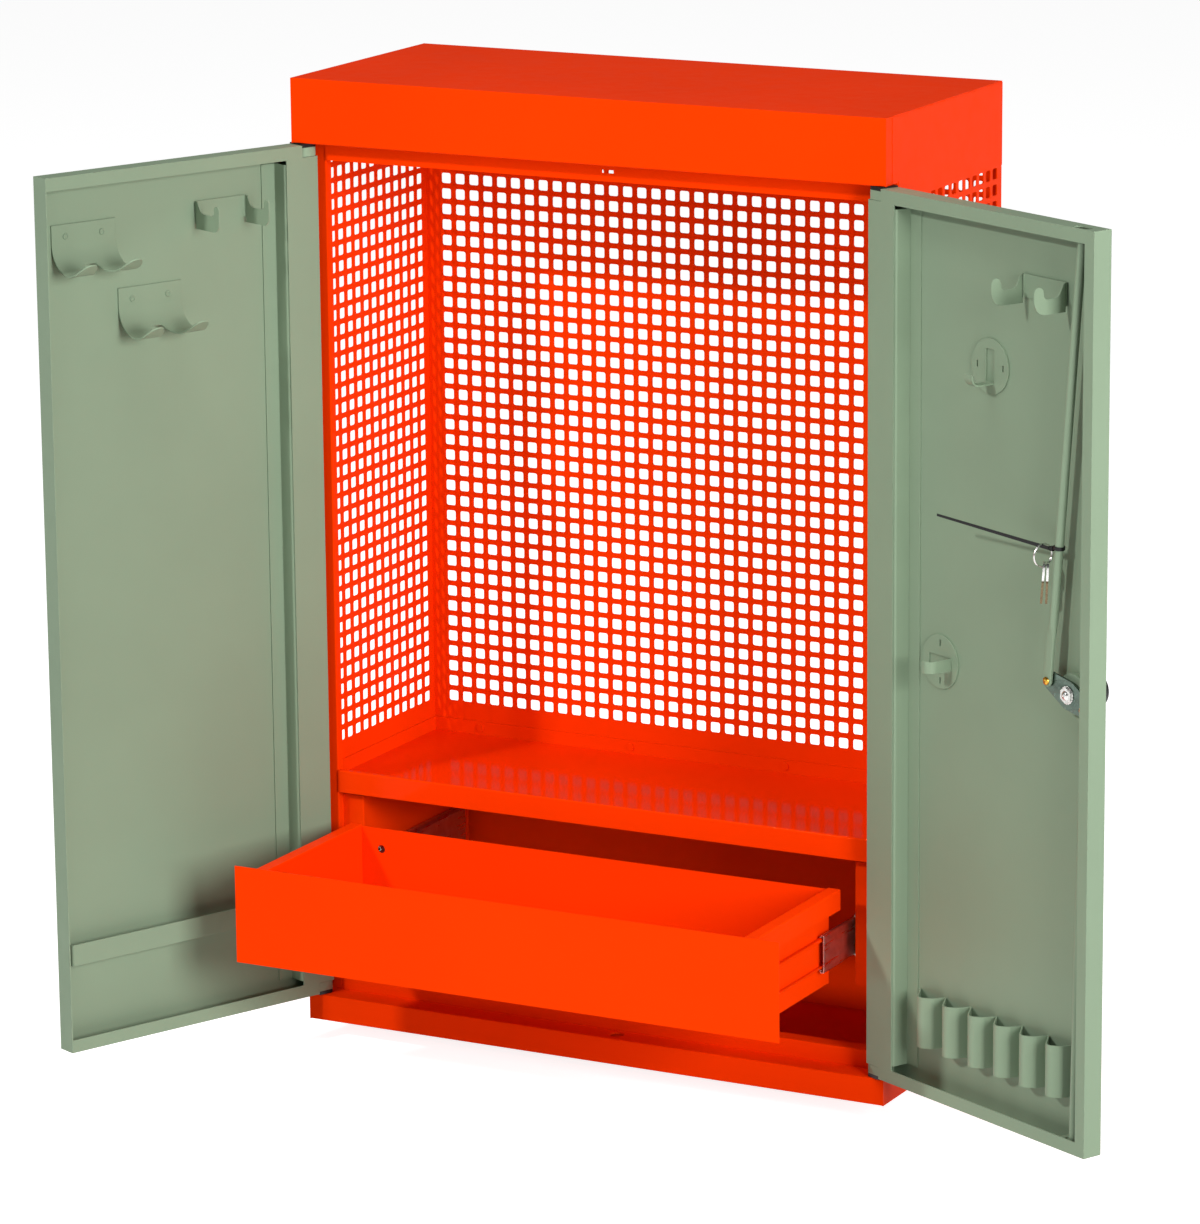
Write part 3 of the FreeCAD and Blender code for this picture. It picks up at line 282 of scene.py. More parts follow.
def plate(outline, rounds, thick, holes=(), circles=(), segments=8):
    """A flat plate: its outline and holes filled in, then its thickness."""
    mesh = bmesh.new()
    if outline:
        rounded_loop(mesh, outline, rounds, segments)
    for points, radii in holes:
        rounded_loop(mesh, points, radii, 4)
    for x, y, radius in circles:
        bmesh.ops.create_circle(mesh, cap_ends=False, radius=radius, segments=48, matrix=Matrix.Translation((x, y, 0)))
    bmesh.ops.triangle_fill(mesh, use_beauty=True, edges=mesh.edges[:])
    made = bmesh.ops.extrude_face_region(mesh, geom=mesh.faces[:])
    bmesh.ops.translate(mesh, verts=moved_verts(made), vec=(0, 0, thick))
    bmesh.ops.recalc_face_normals(mesh, faces=mesh.faces[:])
    return mesh


def turned(profile, steps=48):
    """A round piece from (radius, height) points, spun about the upright axis."""
    mesh = bmesh.new()
    points = [mesh.verts.new((radius, 0, height)) for radius, height in profile]
    edges = [mesh.edges.new(pair) for pair in zip(points, points[1:])]
    bmesh.ops.spin(
        mesh, geom=points + edges, cent=(0, 0, 0), axis=(0, 0, 1), angle=math.tau, steps=steps, use_merge=True
    )
    bmesh.ops.remove_doubles(mesh, verts=mesh.verts[:], dist=1e-4)
    bmesh.ops.recalc_face_normals(mesh, faces=mesh.faces[:])
    return mesh


def swept(sections, sides=20):
    """A bar along the upright axis from (height, half width, half depth, squareness) sections."""
    mesh = bmesh.new()
    ring = bmesh.ops.create_circle(mesh, cap_ends=False, radius=1, segments=sides)["verts"]
    shape = [(math.cos(math.tau * i / sides), math.sin(math.tau * i / sides)) for i in range(sides)]

    def place(verts, section):
        height, wide, deep, square = section
        for vert, (a, b) in zip(verts, shape):
            vert.co = (
                wide * math.copysign(abs(a) ** square, a),
                deep * math.copysign(abs(b) ** square, b),
                height,
            )

    place(ring, sections[0])
    order = first = list(ring)
    for section in sections[1:]:
        loop = [edge for edge in mesh.edges if all(vert in order for vert in edge.verts)]
        fresh = moved_verts(bmesh.ops.extrude_edge_only(mesh, edges=loop))
        order = [min(fresh, key=lambda v: (v.co - old.co).length) for old in order]
        place(order, section)
    for ends in (first, order):
        mesh.faces.new(ends)
    bmesh.ops.recalc_face_normals(mesh, faces=mesh.faces[:])
    return mesh


def joined(meshes):
    """Several bmeshes as one."""
    whole = bmesh.new()
    for mesh in meshes:
        data = bpy.data.meshes.new("part")
        mesh.to_mesh(data)
        mesh.free()
        whole.from_mesh(data)
        bpy.data.meshes.remove(data)
    return whole


def placed(mesh, *steps):
    """The mesh after each matrix in turn."""
    for step in steps:
        mesh.transform(step)
    return mesh


def basis(x, y, z, origin):
    """The matrix that lays a piece's own axes on the given ones."""
    return Matrix.Translation(origin) @ Matrix((x, y, z)).transposed().to_4x4()


def dress(node, material):
    """Gives a carried-over piece its finish."""
    thing = NODES[node]
    thing.data.materials.clear()
    thing.data.materials.append(material)


def bisect(mesh, place, normal):
    everything = mesh.verts[:] + mesh.edges[:] + mesh.faces[:]
    bmesh.ops.bisect_plane(mesh, geom=everything, plane_co=place, plane_no=normal, dist=1e-7)


def material(name):
    return bpy.data.materials[name]


def box_mm(node, way=1):
    """A node's box in millimetres, mirrored in x for the right side."""
    low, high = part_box(node)
    low, high = low / MM, high / MM
    if way < 0:
        low.x, high.x = -high.x, -low.x
    return low, high


def door_frame(side):
    """From the door's own millimetres, u to the free edge, d inwards and z up, to the open door at rest."""
    joint = JOINTS[side + "_door_hinge"]
    axis = Vector(joint["pos_m"])
    opened = 90 - joint["range_deg"][0]
    sizes = bpy.context.scene.cabinet_sizes
    turn = Matrix.Rotation(math.radians(-opened if side == "left" else opened), 4, "Z")
    flip = Matrix.Scale(-1, 4, (1, 0, 0)) if side == "right" else Matrix.Identity(4)
    own = Matrix.Translation((0, -sizes.hinge_depth, -sizes.fixing_height)) @ Matrix.Scale(MM, 4)
    return Matrix.Translation(axis) @ turn @ flip @ own


def door_piece(mesh, name, side, node, edge=0.3):
    """A painted piece in a door's own millimetres, in place of its solid."""
    mesh = placed(mesh, door_frame(side))
    piece_from(mesh, name, side + "_door", "door paint", [node], edge=edge)


def door_levels():
    """The doors' sheet, foot, head and mid height in millimetres."""
    hooks = bpy.context.scene.cabinet_hooks
    low, high = hooks.door_low / MM, hooks.door_high / MM
    return hooks.door_sheet / MM, low, high, (hooks.door_high + hooks.door_low) / MM / 2


def facing_in(u, d, z):
    """Lays a plate's own x, y and thickness on the door's u, z and d."""
    return Matrix(((1, 0, 0, u), (0, 0, 1, d), (0, 1, 0, z), (0, 0, 0, 1)))


def edge_on(u, d, z):
    """Lays a plate's own x, y and thickness on the door's d, z and u."""
    return Matrix(((0, 0, 1, u), (1, 0, 0, d), (0, 1, 0, z), (0, 0, 0, 1)))


# Sizes and colours that a user would change


class CabinetSizes(bpy.types.PropertyGroup):
    hole: bpy.props.FloatProperty(name="Hole", description="Side of a wall hole", default=10 * MM, unit="LENGTH")
    pitch: bpy.props.FloatProperty(name="Pitch", description="Spacing of the holes", default=15 * MM, unit="LENGTH")
    rows: bpy.props.IntProperty(name="Rows", description="Rows of holes in each wall", default=38, min=1)
    back_columns: bpy.props.IntProperty(name="Back columns", description="Columns in the back", default=38, min=1)
    side_columns: bpy.props.IntProperty(name="Side columns", description="Columns in a side", default=13, min=1)
    first_row: bpy.props.FloatProperty(
        name="First row", description="Lowest row above the underside", default=262 * MM, unit="LENGTH"
    )
    side_margin: bpy.props.FloatProperty(
        name="Side margin", description="First side column from the wall", default=15 * MM, unit="LENGTH"
    )
    hole_corner: bpy.props.FloatProperty(
        name="Hole corner", description="Corner radius of a wall hole", default=1.8 * MM, unit="LENGTH"
    )
    fixing_height: bpy.props.FloatProperty(
        name="Fixing height", description="Middle of the fixing holes", default=460 * MM, unit="LENGTH"
    )
    hinge_depth: bpy.props.FloatProperty(
        name="Hinge depth", description="Hinge axis behind the door's face", default=10 * MM, unit="LENGTH"
    )


class CabinetColours(bpy.types.PropertyGroup):
    body: bpy.props.FloatVectorProperty(
        name="Body", description="Body, drawer and shelf", subtype="COLOR", size=3, default=(0.88, 0.040, 0.0004)
    )
    doors: bpy.props.FloatVectorProperty(
        name="Doors", description="Doors and their hooks", subtype="COLOR", size=3, default=(0.225, 0.30, 0.205)
    )
    zinc: bpy.props.FloatVectorProperty(
        name="Zinc", description="Runners, rods and lever", subtype="COLOR", size=3, default=(0.62, 0.64, 0.62)
    )
    brass: bpy.props.FloatVectorProperty(
        name="Brass", description="Rivets", subtype="COLOR", size=3, default=(0.62, 0.34, 0.05)
    )
    plastic: bpy.props.FloatVectorProperty(
        name="Plastic", description="Knob, bushes and tie", subtype="COLOR", size=3, default=(0.006, 0.006, 0.006)
    )


class CabinetHooks(bpy.types.PropertyGroup):
    door_sheet: bpy.props.FloatProperty(
        name="Door sheet", description="Thickness of the doors' sheet", default=1.2 * MM, unit="LENGTH"
    )
    door_thick: bpy.props.FloatProperty(
        name="Door thickness", description="Depth of a door's edge flanges", default=20 * MM, unit="LENGTH"
    )
    door_low: bpy.props.FloatProperty(
        name="Door foot", description="Lower edge of the doors above the underside", default=26.5 * MM, unit="LENGTH"
    )
    door_high: bpy.props.FloatProperty(
        name="Door head", description="Upper edge of the doors above the underside", default=838.5 * MM, unit="LENGTH"
    )


class CabinetLock(bpy.types.PropertyGroup):
    place: bpy.props.FloatProperty(
        name="Lock place", description="Lock's axis from the hinge axis", default=256 * MM, unit="LENGTH"
    )
    arm: bpy.props.FloatProperty(
        name="Lever arm", description="From the lock's axis to a rod's rivet", default=25 * MM, unit="LENGTH"
    )
    knob_neck: bpy.props.FloatProperty(
        name="Knob neck", description="Where the knob's head starts, outside the door", default=0.5 * MM, unit="LENGTH"
    )


# Operators


class CABINET_OT_finishes(bpy.types.Operator):
    """Makes the finishes and gives each carried-over piece its own"""

    bl_idname = "cabinet.finishes"
    bl_label = "Finishes"

    def execute(self, context):
        colours = context.scene.cabinet_colours
        made = {
            "orange_paint": powder_coat("body paint", colours.body, 0.62, 0.035),
            "grey_green_paint": powder_coat("door paint", colours.doors, 0.55, 0.3),
            "zinc_steel": zinc_plate("zinc plate", colours.zinc, (1, 0.06, 1)),
            "black_plastic": moulded_plastic("black plastic", colours.plastic),
            "brass": turned_metal("brass", colours.brass),
            "steel": turned_metal("nickel plate", (0.66, 0.66, 0.64)),
        }
        zinc_plate("lever zinc", (0.13, 0.18, 0.15))
        turned_metal("key brass", (0.16, 0.12, 0.07))
        shelf = powder_coat("shelf paint", colours.body, 0.94, 0.28)
        slots = {part["node"]: part["material_slot"] for part in frame["record"]["subparts"]}
        for node, slot in slots.items():
            dress(node, made[slot])
        dress("shelf_tray", shelf)
        dress("shelf_screws", made["orange_paint"])
        return {"FINISHED"}


def perforated_sheet(low, high, centres_a, centres_b, rounds):
    """A flat sheet in its own plane, cut along every hole's edges, with rounded square holes and round ones."""
    sizes = bpy.context.scene.cabinet_sizes
    mesh = bmesh.new()
    outline = ((low[0], low[1]), (high[0], low[1]), (high[0], high[1]), (low[0], high[1]))
    mesh.faces.new([mesh.verts.new((*point, 0)) for point in outline])
    reach = sizes.hole / 2
    cut_a = [a + way * reach for a in centres_a for way in (-1, 1)]
    cut_b = [b + way * reach for b in centres_b for way in (-1, 1)]
    for a in cut_a:
        bisect(mesh, (a, 0, 0), (1, 0, 0))
    for b in cut_b:
        bisect(mesh, (0, b, 0), (0, 1, 0))
    tile = sizes.pitch
    for a, b, radius in rounds:
        for way in (-1, 1):
            bisect(mesh, (a + way * tile, 0, 0), (1, 0, 0))
            bisect(mesh, (0, b + way * tile, 0), (0, 1, 0))
    mesh.faces.ensure_lookup_table()
    near = sizes.hole * 0.4

    def in_hole(face):
        middle = face.calc_center_median()
        column = min(centres_a, key=lambda a: abs(a - middle.x))
        row = min(centres_b, key=lambda b: abs(b - middle.y))
        return abs(column - middle.x) < near and abs(row - middle.y) < near

    gone = [face for face in mesh.faces if in_hole(face)]
    corners = list({vert for face in gone for vert in face.verts})
    bmesh.ops.delete(mesh, geom=gone, context="FACES")
    bmesh.ops.bevel(
        mesh,
        geom=corners,
        offset=sizes.hole_corner,
        offset_type="OFFSET",
        segments=2,
        profile=0.5,
        affect="VERTICES",
        material=-1,
    )
    for a, b, radius in rounds:
        covered = [
            face
            for face in mesh.faces
            if abs(face.calc_center_median().x - a) < tile and abs(face.calc_center_median().y - b) < tile
        ]
        bmesh.ops.delete(mesh, geom=covered, context="FACES")
        ring = bmesh.ops.create_circle(
            mesh, cap_ends=False, radius=radius, segments=32, matrix=Matrix.Translation((a, b, 0))
        )["verts"]
        inner = {edge for vert in ring for edge in vert.link_edges}
        rim = tile * 1.01
        outer = {
            edge
            for edge in mesh.edges
            if edge.is_boundary and all(abs(v.co.x - a) < rim and abs(v.co.y - b) < rim for v in edge.verts)
        }
        bmesh.ops.bridge_loops(mesh, edges=list(inner | outer))
    bmesh.ops.recalc_face_normals(mesh, faces=mesh.faces[:])
    return mesh


class CABINET_OT_perforated_walls(bpy.types.Operator):
    """Makes the back and both sides with every hole"""

    bl_idname = "cabinet.perforated_walls"
    bl_label = "Perforated walls"

    def execute(self, context):
        sizes = context.scene.cabinet_sizes
        low_row = sizes.first_row - sizes.fixing_height
        rows = [low_row + row * sizes.pitch for row in range(sizes.rows)]
        fixing = frame["record"]["mounts"][0]
        spread_x = fixing["dims"]["spacing_x_mm"] * MM / 2
        spread_z = fixing["dims"]["spacing_y_mm"] * MM / 2
        radius = fixing["dims"]["hole_r_mm"] * MM
        for node in ("back_panel", "left_side_panel", "right_side_panel"):
            low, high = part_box(node)
            if node == "back_panel":
                across = (low.x, high.x)
                start = -(sizes.back_columns - 1) / 2 * sizes.pitch
                columns = [start + column * sizes.pitch for column in range(sizes.back_columns)]
                rounds = [(a * spread_x, b * spread_z, radius) for a in (-1, 1) for b in (-1, 1)]
                thick = high.y - low.y
                upright = Matrix.Translation((0, low.y, 0)) @ Matrix.Rotation(math.pi / 2, 4, "X")
            else:
                across = (low.y, high.y)
                columns = [-sizes.side_margin - column * sizes.pitch for column in range(sizes.side_columns)]
                rounds = []
                thick = high.x - low.x
                upright = Matrix(((0, 0, 1, low.x), (1, 0, 0, 0), (0, 1, 0, 0), (0, 0, 0, 1)))
            mesh = perforated_sheet((across[0], low.z), (across[1], high.z), columns, rows, rounds)
            mesh.transform(upright)
            mesh.normal_update()
            front = Vector((0, -1, 0)) if node == "back_panel" else Vector((-1, 0, 0))
            if mesh.faces[:][0].normal.dot(front) < 0:
                bmesh.ops.reverse_faces(mesh, faces=mesh.faces[:])
                mesh.normal_update()
            bmesh.ops.solidify(mesh, geom=mesh.faces[:], thickness=thick)
            bmesh.ops.recalc_face_normals(mesh, faces=mesh.faces[:])
            name = node.replace("panel", "wall")
            wall = piece_from(mesh, name, "cabinet", "body paint", [node], smooth=0)
            edge = wall.modifiers.new("edge", "BEVEL")
            edge.width = 0.12 * MM
            edge.segments = 1
            edge.limit_method = "ANGLE"
            edge.angle_limit = math.radians(60)
        return {"FINISHED"}


class CABINET_OT_wide_hooks(bpy.types.Operator):
    """Rolls the two wide rests of the left door and sets their rivets"""

    bl_idname = "cabinet.wide_hooks"
    bl_label = "Wide hooks"

    def execute(self, context):
        skin, _, high, _ = door_levels()
        width, sheet, straight, curve, turn, tongue = 69, 1.5, 17.4, 26, math.radians(126), 13
        arc = curve * turn
        whole = straight + arc + tongue
        valley = straight + curve * math.radians(50)
        middle, outer, inner = 10.2, 12, 19

        def rolled(length):
            """Depth and height of a point at a length along the sheet, under its upper edge."""
            if length < straight:
                return 0, -length
            angle = min((length - straight) / curve, turn)
            depth = curve * (1 - math.cos(angle))
            height = -straight - curve * math.sin(angle)
            rest = max(length - straight - arc, 0)
            return depth + rest * math.sin(turn), height - rest * math.cos(turn)

        def reach(across):
            """How far the sheet goes at a place across it: two tongues and the wave between them."""
            off = min(across, width - across) - middle
            if off < 0:
                share = (1 - (-off / outer) ** 2.6) ** (1 / 2.6)
            else:
                share = (0.5 + 0.5 * math.cos(math.pi * min(off / inner, 1) ** 1.5)) ** 0.8
            return valley + (whole - valley) * share

        places = (("upper_wide_hook", 206, 46.5), ("lower_wide_hook", 136, 111.5))
        for node, place, drop in places:
            mesh = bmesh.new()
            columns, rows = 110, 44
            bmesh.ops.create_grid(mesh, x_segments=columns, y_segments=rows, size=0.5)
            for vert in mesh.verts:
                across = (vert.co.x + 0.5) * width
                depth, height = rolled((0.5 - vert.co.y) * reach(across))
                vert.co = (place + across, skin + depth, high - drop + height)
            mesh.normal_update()
            first = max(mesh.faces, key=lambda face: face.calc_center_median().z)
            if first.normal.y > 0:
                bmesh.ops.reverse_faces(mesh, faces=mesh.faces[:])
                mesh.normal_update()
            bmesh.ops.solidify(mesh, geom=mesh.faces[:], thickness=sheet)
            door_piece(mesh, node + "_rest", "left", node, 0.35)
        profile = [(0, 0.35), (1.5, 0.35), (1.9, 0.9), (2.5, 0.95), (3, 0.5), (3, -0.4), (0, -0.4)]
        inset, rivet_drop = 15, 11
        rivets = []
        for _, place, drop in places:
            for u in (place + inset, place + width - inset):
                rivets.append(placed(turned(profile), facing_in(u, skin + sheet, high - drop - rivet_drop)))
        door_piece(joined(rivets), "rest_rivets", "left", "wide_hook_rivets", 0.1)
        return {"FINISHED"}


def ear(tall, floor, horn, out, round_out):
    """The outline of a twin hook's ear, in depth and height."""
    tip = out - horn
    points = [(3, tall), (3, 0), (out, 0), (out, tall - 1), (tip, tall - 1), (tip, floor), (11, floor), (5, tall)]
    return points, [0, 0, round_out, horn * 0.49, horn * 0.49, 4.5, 7, 4]


class CABINET_OT_twin_hooks(bpy.types.Operator):
    """Makes the plates with two turned-out hooks, one on each door"""

    bl_idname = "cabinet.twin_hooks"
    bl_label = "Twin hooks"

    def execute(self, context):
        skin, _, high, _ = door_levels()
        wide, tall, sheet, turn, wing, gap = 57, 25, 1.5, 3, 4, 5
        for side, place, drop, shape in (
            ("left", 62, 41.5, (tall, 14.5, 7.5, 39, 9)),
            ("right", 181, 52.5, (tall, 13, 10.5, 38, 13)),
        ):
            low = high - drop - tall
            ends = (place, place + wide)
            path = [(ends[0], skin + wing), (ends[0], skin), (ends[1], skin), (ends[1], skin + wing)]
            path = [(u, d, low + gap) for u, d in path]
            parts = [folded(path, [turn, turn], (0, 0, tall - gap), sheet, (1, 0, 0))]
            for start in (place, place + wide - sheet):
                parts.append(placed(plate(*ear(*shape), sheet, segments=12), edge_on(start, skin, low)))
            name = side + "_twin_hook"
            door_piece(joined(parts), name + "_ears", side, name)
        return {"FINISHED"}


class CABINET_OT_plate_hooks(bpy.types.Operator):
    """Makes the two round plates of the right door with their tongue and strap"""

    bl_idname = "cabinet.plate_hooks"
    bl_label = "Plate hooks"

    def execute(self, context):
        skin, _, high, middle = door_levels()
        sheet, radius, slit_reach = 1.5, 24.5, 17
        tongue_wide, tongue_out, tongue_foot, tongue_tip = 10.8, 26, -15.5, -4.5

        def oblong(x, y, wide, tall, round_in):
            a, b = wide / 2, tall / 2
            return [(x - a, y - b), (x + a, y - b), (x + a, y + b), (x - a, y + b)], [round_in] * 4

        for name, node, place, turn, slit in (
            ("slot_hook_plate", "slot_hook", (138, high - 139.5), 0, (2, 6)),
            ("strap_hook_plate", "strap_hook", (73, middle - 8), 90, (6, 2)),
        ):
            holes = [oblong(0, 0, 11, 30, 0.8)] + [oblong(x, 0, *slit, 0.9) for x in (-slit_reach, slit_reach)]
            disc = placed(plate((), (), sheet, holes=holes, circles=[(0, 0, radius)]), facing_in(0, 0, 0))
            path = ((0, tongue_foot), (tongue_out, tongue_foot), (tongue_out, tongue_tip))
            path = [(-tongue_wide / 2, d, z) for d, z in path]
            tongue = folded(path, [8.5], (tongue_wide, 0, 0), sheet, (0, 0, 1), segments=12)
            own = Matrix.Translation((place[0], skin, place[1])) @ Matrix.Rotation(math.radians(-turn), 4, "Y")
            door_piece(placed(joined([disc, tongue]), own), name, "right", node)
        return {"FINISHED"}


class CABINET_OT_holders(bpy.types.Operator):
    """Folds the waved strip for screwdrivers, the long bar and the doors' inner rails"""

    bl_idname = "cabinet.holders"
    bl_label = "Holders"

    def execute(self, context):
        skin, low, high, _ = door_levels()
        thick = context.scene.cabinet_hooks.door_thick / MM
        lobes, pitch = 6, 35
        start, foot = 48, low + 44
        wave = ((0, skin), (18, 20.5), (28.5, 12.5), (32.5, skin))
        path = [(start - 3, skin, foot)]
        for lobe in range(lobes):
            for along, depth in wave:
                path.append((start + lobe * pitch + along, depth, foot))
        path.append((start + lobes * pitch, skin, foot))
        mesh = folded(path, [1.2, 6.5, 7, 1] * lobes, (0, 0, 47), 1.2, (0, 1, 0), segments=10)
        door_piece(mesh, "waved_strip", "right", "screwdriver_strip", 0.25)
        bar_start, bar_end, bar_out, bar_foot, bar_tall = 50, 286, 16, low + 81.5, 20
        path = [(bar_start, skin), (bar_start, skin + bar_out), (bar_end, skin + bar_out), (bar_end, skin)]
        path = [(u, d, bar_foot) for u, d in path]
        mesh = folded(path, [2.5, 2.5], (0, 0, bar_tall), 1.5, (1, 0, 0))
        door_piece(mesh, "book_bar", "left", "retaining_bar")
        for side in ("left", "right"):
            cap, margin = thick - 2 * skin, 16
            foot, tall = low + margin, high - low - 2 * margin
            path = [(44, skin, foot), (28, skin, foot), (28, cap, foot), (14, cap, foot)]
            mesh = folded(path, [1.8, 1.8], (0, 0, tall), skin, (0, 1, 0))
            door_piece(mesh, side + "_rail", side, side + "_door_stiffener", 0.25)
        return {"FINISHED"}


class CABINET_OT_corners(bpy.types.Operator):
    """Splits the doors' hinge corners into black caps and painted blocks, and laps the hood's side tabs"""

    bl_idname = "cabinet.corners"
    bl_label = "Corners"

    def execute(self, context):
        for side in ("left", "right"):
            node = side + "_door_bushes"
            low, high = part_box(node)
            for name, finish, outer in (("caps", "black plastic", True), ("corners", "door paint", False)):
                mesh = bmesh.new()
                mesh.from_mesh(NODES[node].data)
                bmesh.ops.remove_doubles(mesh, verts=mesh.verts[:], dist=1e-6)
                cut = 3.5 * MM
                for level in (low.z + cut, high.z - cut):
                    bisect(mesh, (0, 0, level), (0, 0, 1))
                gone = [
                    face
                    for face in mesh.faces
                    if outer != (not low.z + cut < face.calc_center_median().z < high.z - cut)
                ]
                bmesh.ops.delete(mesh, geom=gone, context="FACES")
                bmesh.ops.holes_fill(mesh, edges=[edge for edge in mesh.edges if edge.is_boundary], sides=0)
                piece_from(mesh, side + "_door_" + name, side + "_door", finish, [node])
        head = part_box("left_door_bushes")[1].z / MM + 1.5
        low, high = box_mm("top_hood")
        front, clear, deep, inset = low.y + 13, low.y + 26, 0.4, 1.2
        foot, top = low.z + inset, high.z - inset
        outline = [(front, head), (clear, head), (clear, foot), (high.y, foot), (high.y, top), (front, top)]
        tabs = []
        for start in (-high.x - deep, high.x):
            tab = plate(outline, [0] * 6, deep)
            tabs.append(placed(tab, edge_on(start, 0, 0), Matrix.Scale(MM, 4)))
        piece_from(joined(tabs), "hood_tabs", "cabinet", "body paint", edge=0.12)
        return {"FINISHED"}


class CABINET_OT_lock(bpy.types.Operator):
    """Makes the lever with its nut, screw and rivets, and the knob on the outside"""

    bl_idname = "cabinet.lock"
    bl_label = "Lock"

    def execute(self, context):
        lock = context.scene.cabinet_lock
        hang = door_frame("right")
        middle = door_levels()[3]
        place = lock.place / MM
        depth, thick, arm = 11.5, 2, lock.arm / MM
        ear, hub, bore, rivet_hole = 7.5, 13.4, 4, 2.5
        along = Vector((math.cos(LEVER_LEAN), math.sin(LEVER_LEAN)))
        across = Vector((-along.y, along.x))
        ends = []
        for way in (1, -1):
            far = along * way * (arm + ear)
            ends += [far + across * way * ear, far - across * way * ear, across * way * -hub]
        outline = [tuple(point) for point in ends]
        holes = [(*(along * way * arm), rivet_hole) for way in (1, -1)] + [(0, 0, bore)]
        lever = plate(outline, [7.4, 7.4, 13] * 2, thick, circles=holes, segments=12)
        lever.transform(facing_in(place, depth, middle))
        mesh = placed(lever, hang)
        piece_from(mesh, "lever", "lock", "lever zinc", ["cam_plate"], edge=0.3)

        start = depth + thick
        count, teeth = 36, []
        for i in range(count):
            radius = 8.4 if i % 2 else 7.7
            teeth.append((radius * math.cos(math.tau * i / count), radius * math.sin(math.tau * i / count)))
        washer = plate(teeth, [0] * count, 0.9, circles=[(0, 0, bore)])
        washer.transform(facing_in(place, start, middle))
        nut = bmesh.new()
        bmesh.ops.create_cone(nut, cap_ends=True, segments=6, radius1=7.4, radius2=7.4, depth=1.8)
        bmesh.ops.translate(nut, verts=nut.verts[:], vec=(0, 0, 1.8))
        nut.transform(facing_in(place, start, middle))
        head = turned([(0, 3.6), (0.7, 3.7), (0.9, 4.3), (2.2, 4.2), (3.4, 3.6), (4.3, 2.4), (4.3, 1), (0, 1)], 40)
        head.transform(facing_in(place, start, middle))
        mesh = placed(joined([washer, nut, head]), hang)
        piece_from(mesh, "lever_nut", "lock", "nickel plate", ["lock_screw"], edge=0.25)

        profile = [(0, 6.9), (0.9, 6.8), (1.2, 7.2), (2.3, 7.1), (3.3, 6.6), (3.6, 5.9), (3.5, 5.6)]
        profile += [(2.45, 5.6), (2.45, 0.1), (0, 0.1)]
        rivets = []
        for way in (1, -1):
            point = along * way * arm
            rivets.append(placed(turned(profile), facing_in(place + point.x, depth, middle + point.y)))
        mesh = placed(joined(rivets), hang)
        piece_from(mesh, "lever_rivets", "lock", "brass", ["rod_rivets"])

        profile = [(0, -6.5), (9, -6.5), (9, 6.6), (14.2, 7.2), (15.5, 8), (16, 9.6), (16, 17.5), (14.8, 20.2)]
        profile += [(12, 21.8), (6.2, 22.4), (6.1, 22.3), (6.1, 18), (0, 18)]
        knob = turned(profile, 64)
        knob.transform(Matrix(((1, 0, 0, place), (0, 0, -1, -lock.knob_neck / MM), (0, 1, 0, middle), (0, 0, 0, 1))))
        mesh = placed(knob, hang)
        piece_from(mesh, "knob", "lock", "black plastic", ["lock_knob"])
        return {"FINISHED"}


class CABINET_OT_rods(bpy.types.Operator):
    """Draws the two locking rods with their flattened ends"""

    bl_idname = "cabinet.rods"
    bl_label = "Rods"

    def execute(self, context):
        lock = context.scene.cabinet_lock
        hang = door_frame("right")
        _, low, high, middle = door_levels()
        place = lock.place / MM
        arm = lock.arm / MM
        depth, guide, tip_gap, flat_depth = 13.6, 270, 2, 13.8 + 1.5
        for way, name in ((1, "upper_rod"), (-1, "lower_rod")):
            rise = way * arm * math.sin(LEVER_LEAN)
            start = Vector((place + way * arm * math.cos(LEVER_LEAN), depth, middle + rise))
            end = Vector((guide, depth, (high if way > 0 else low) - way * tip_gap))
            long = (end - start).length
            start.y = flat_depth
            axis = Vector((end.x - start.x, 0, end.z - start.z)).normalized()
            sections = [(-5 * math.cos(t), 5 * math.sin(t), 1.45, 0.35) for t in (0.2, 0.45, 0.75, 1.1, 1.35)]
            sections += [(0, 5, 1.5, 0.35), (38, 5, 1.5, 0.35), (42, 4.95, 1.7, 0.45), (47, 4.5, 2.8, 0.8)]
            sections += [(52, 4, 4, 1), (long - 2.2, 4, 4, 1), (long - 0.8, 3.5, 3.5, 1), (long, 2.4, 2.4, 1)]
            rod = swept(sections)
            for vert in rod.verts:
                vert.co.y -= 1.7 * min(max((vert.co.z - 40) / 12, 0), 1)
            inward = Vector((0, 1, 0))
            mesh = placed(rod, basis(inward.cross(axis), inward, axis, start), hang)
            piece_from(mesh, name + "_tube", name, "door paint", [name])
        return {"FINISHED"}


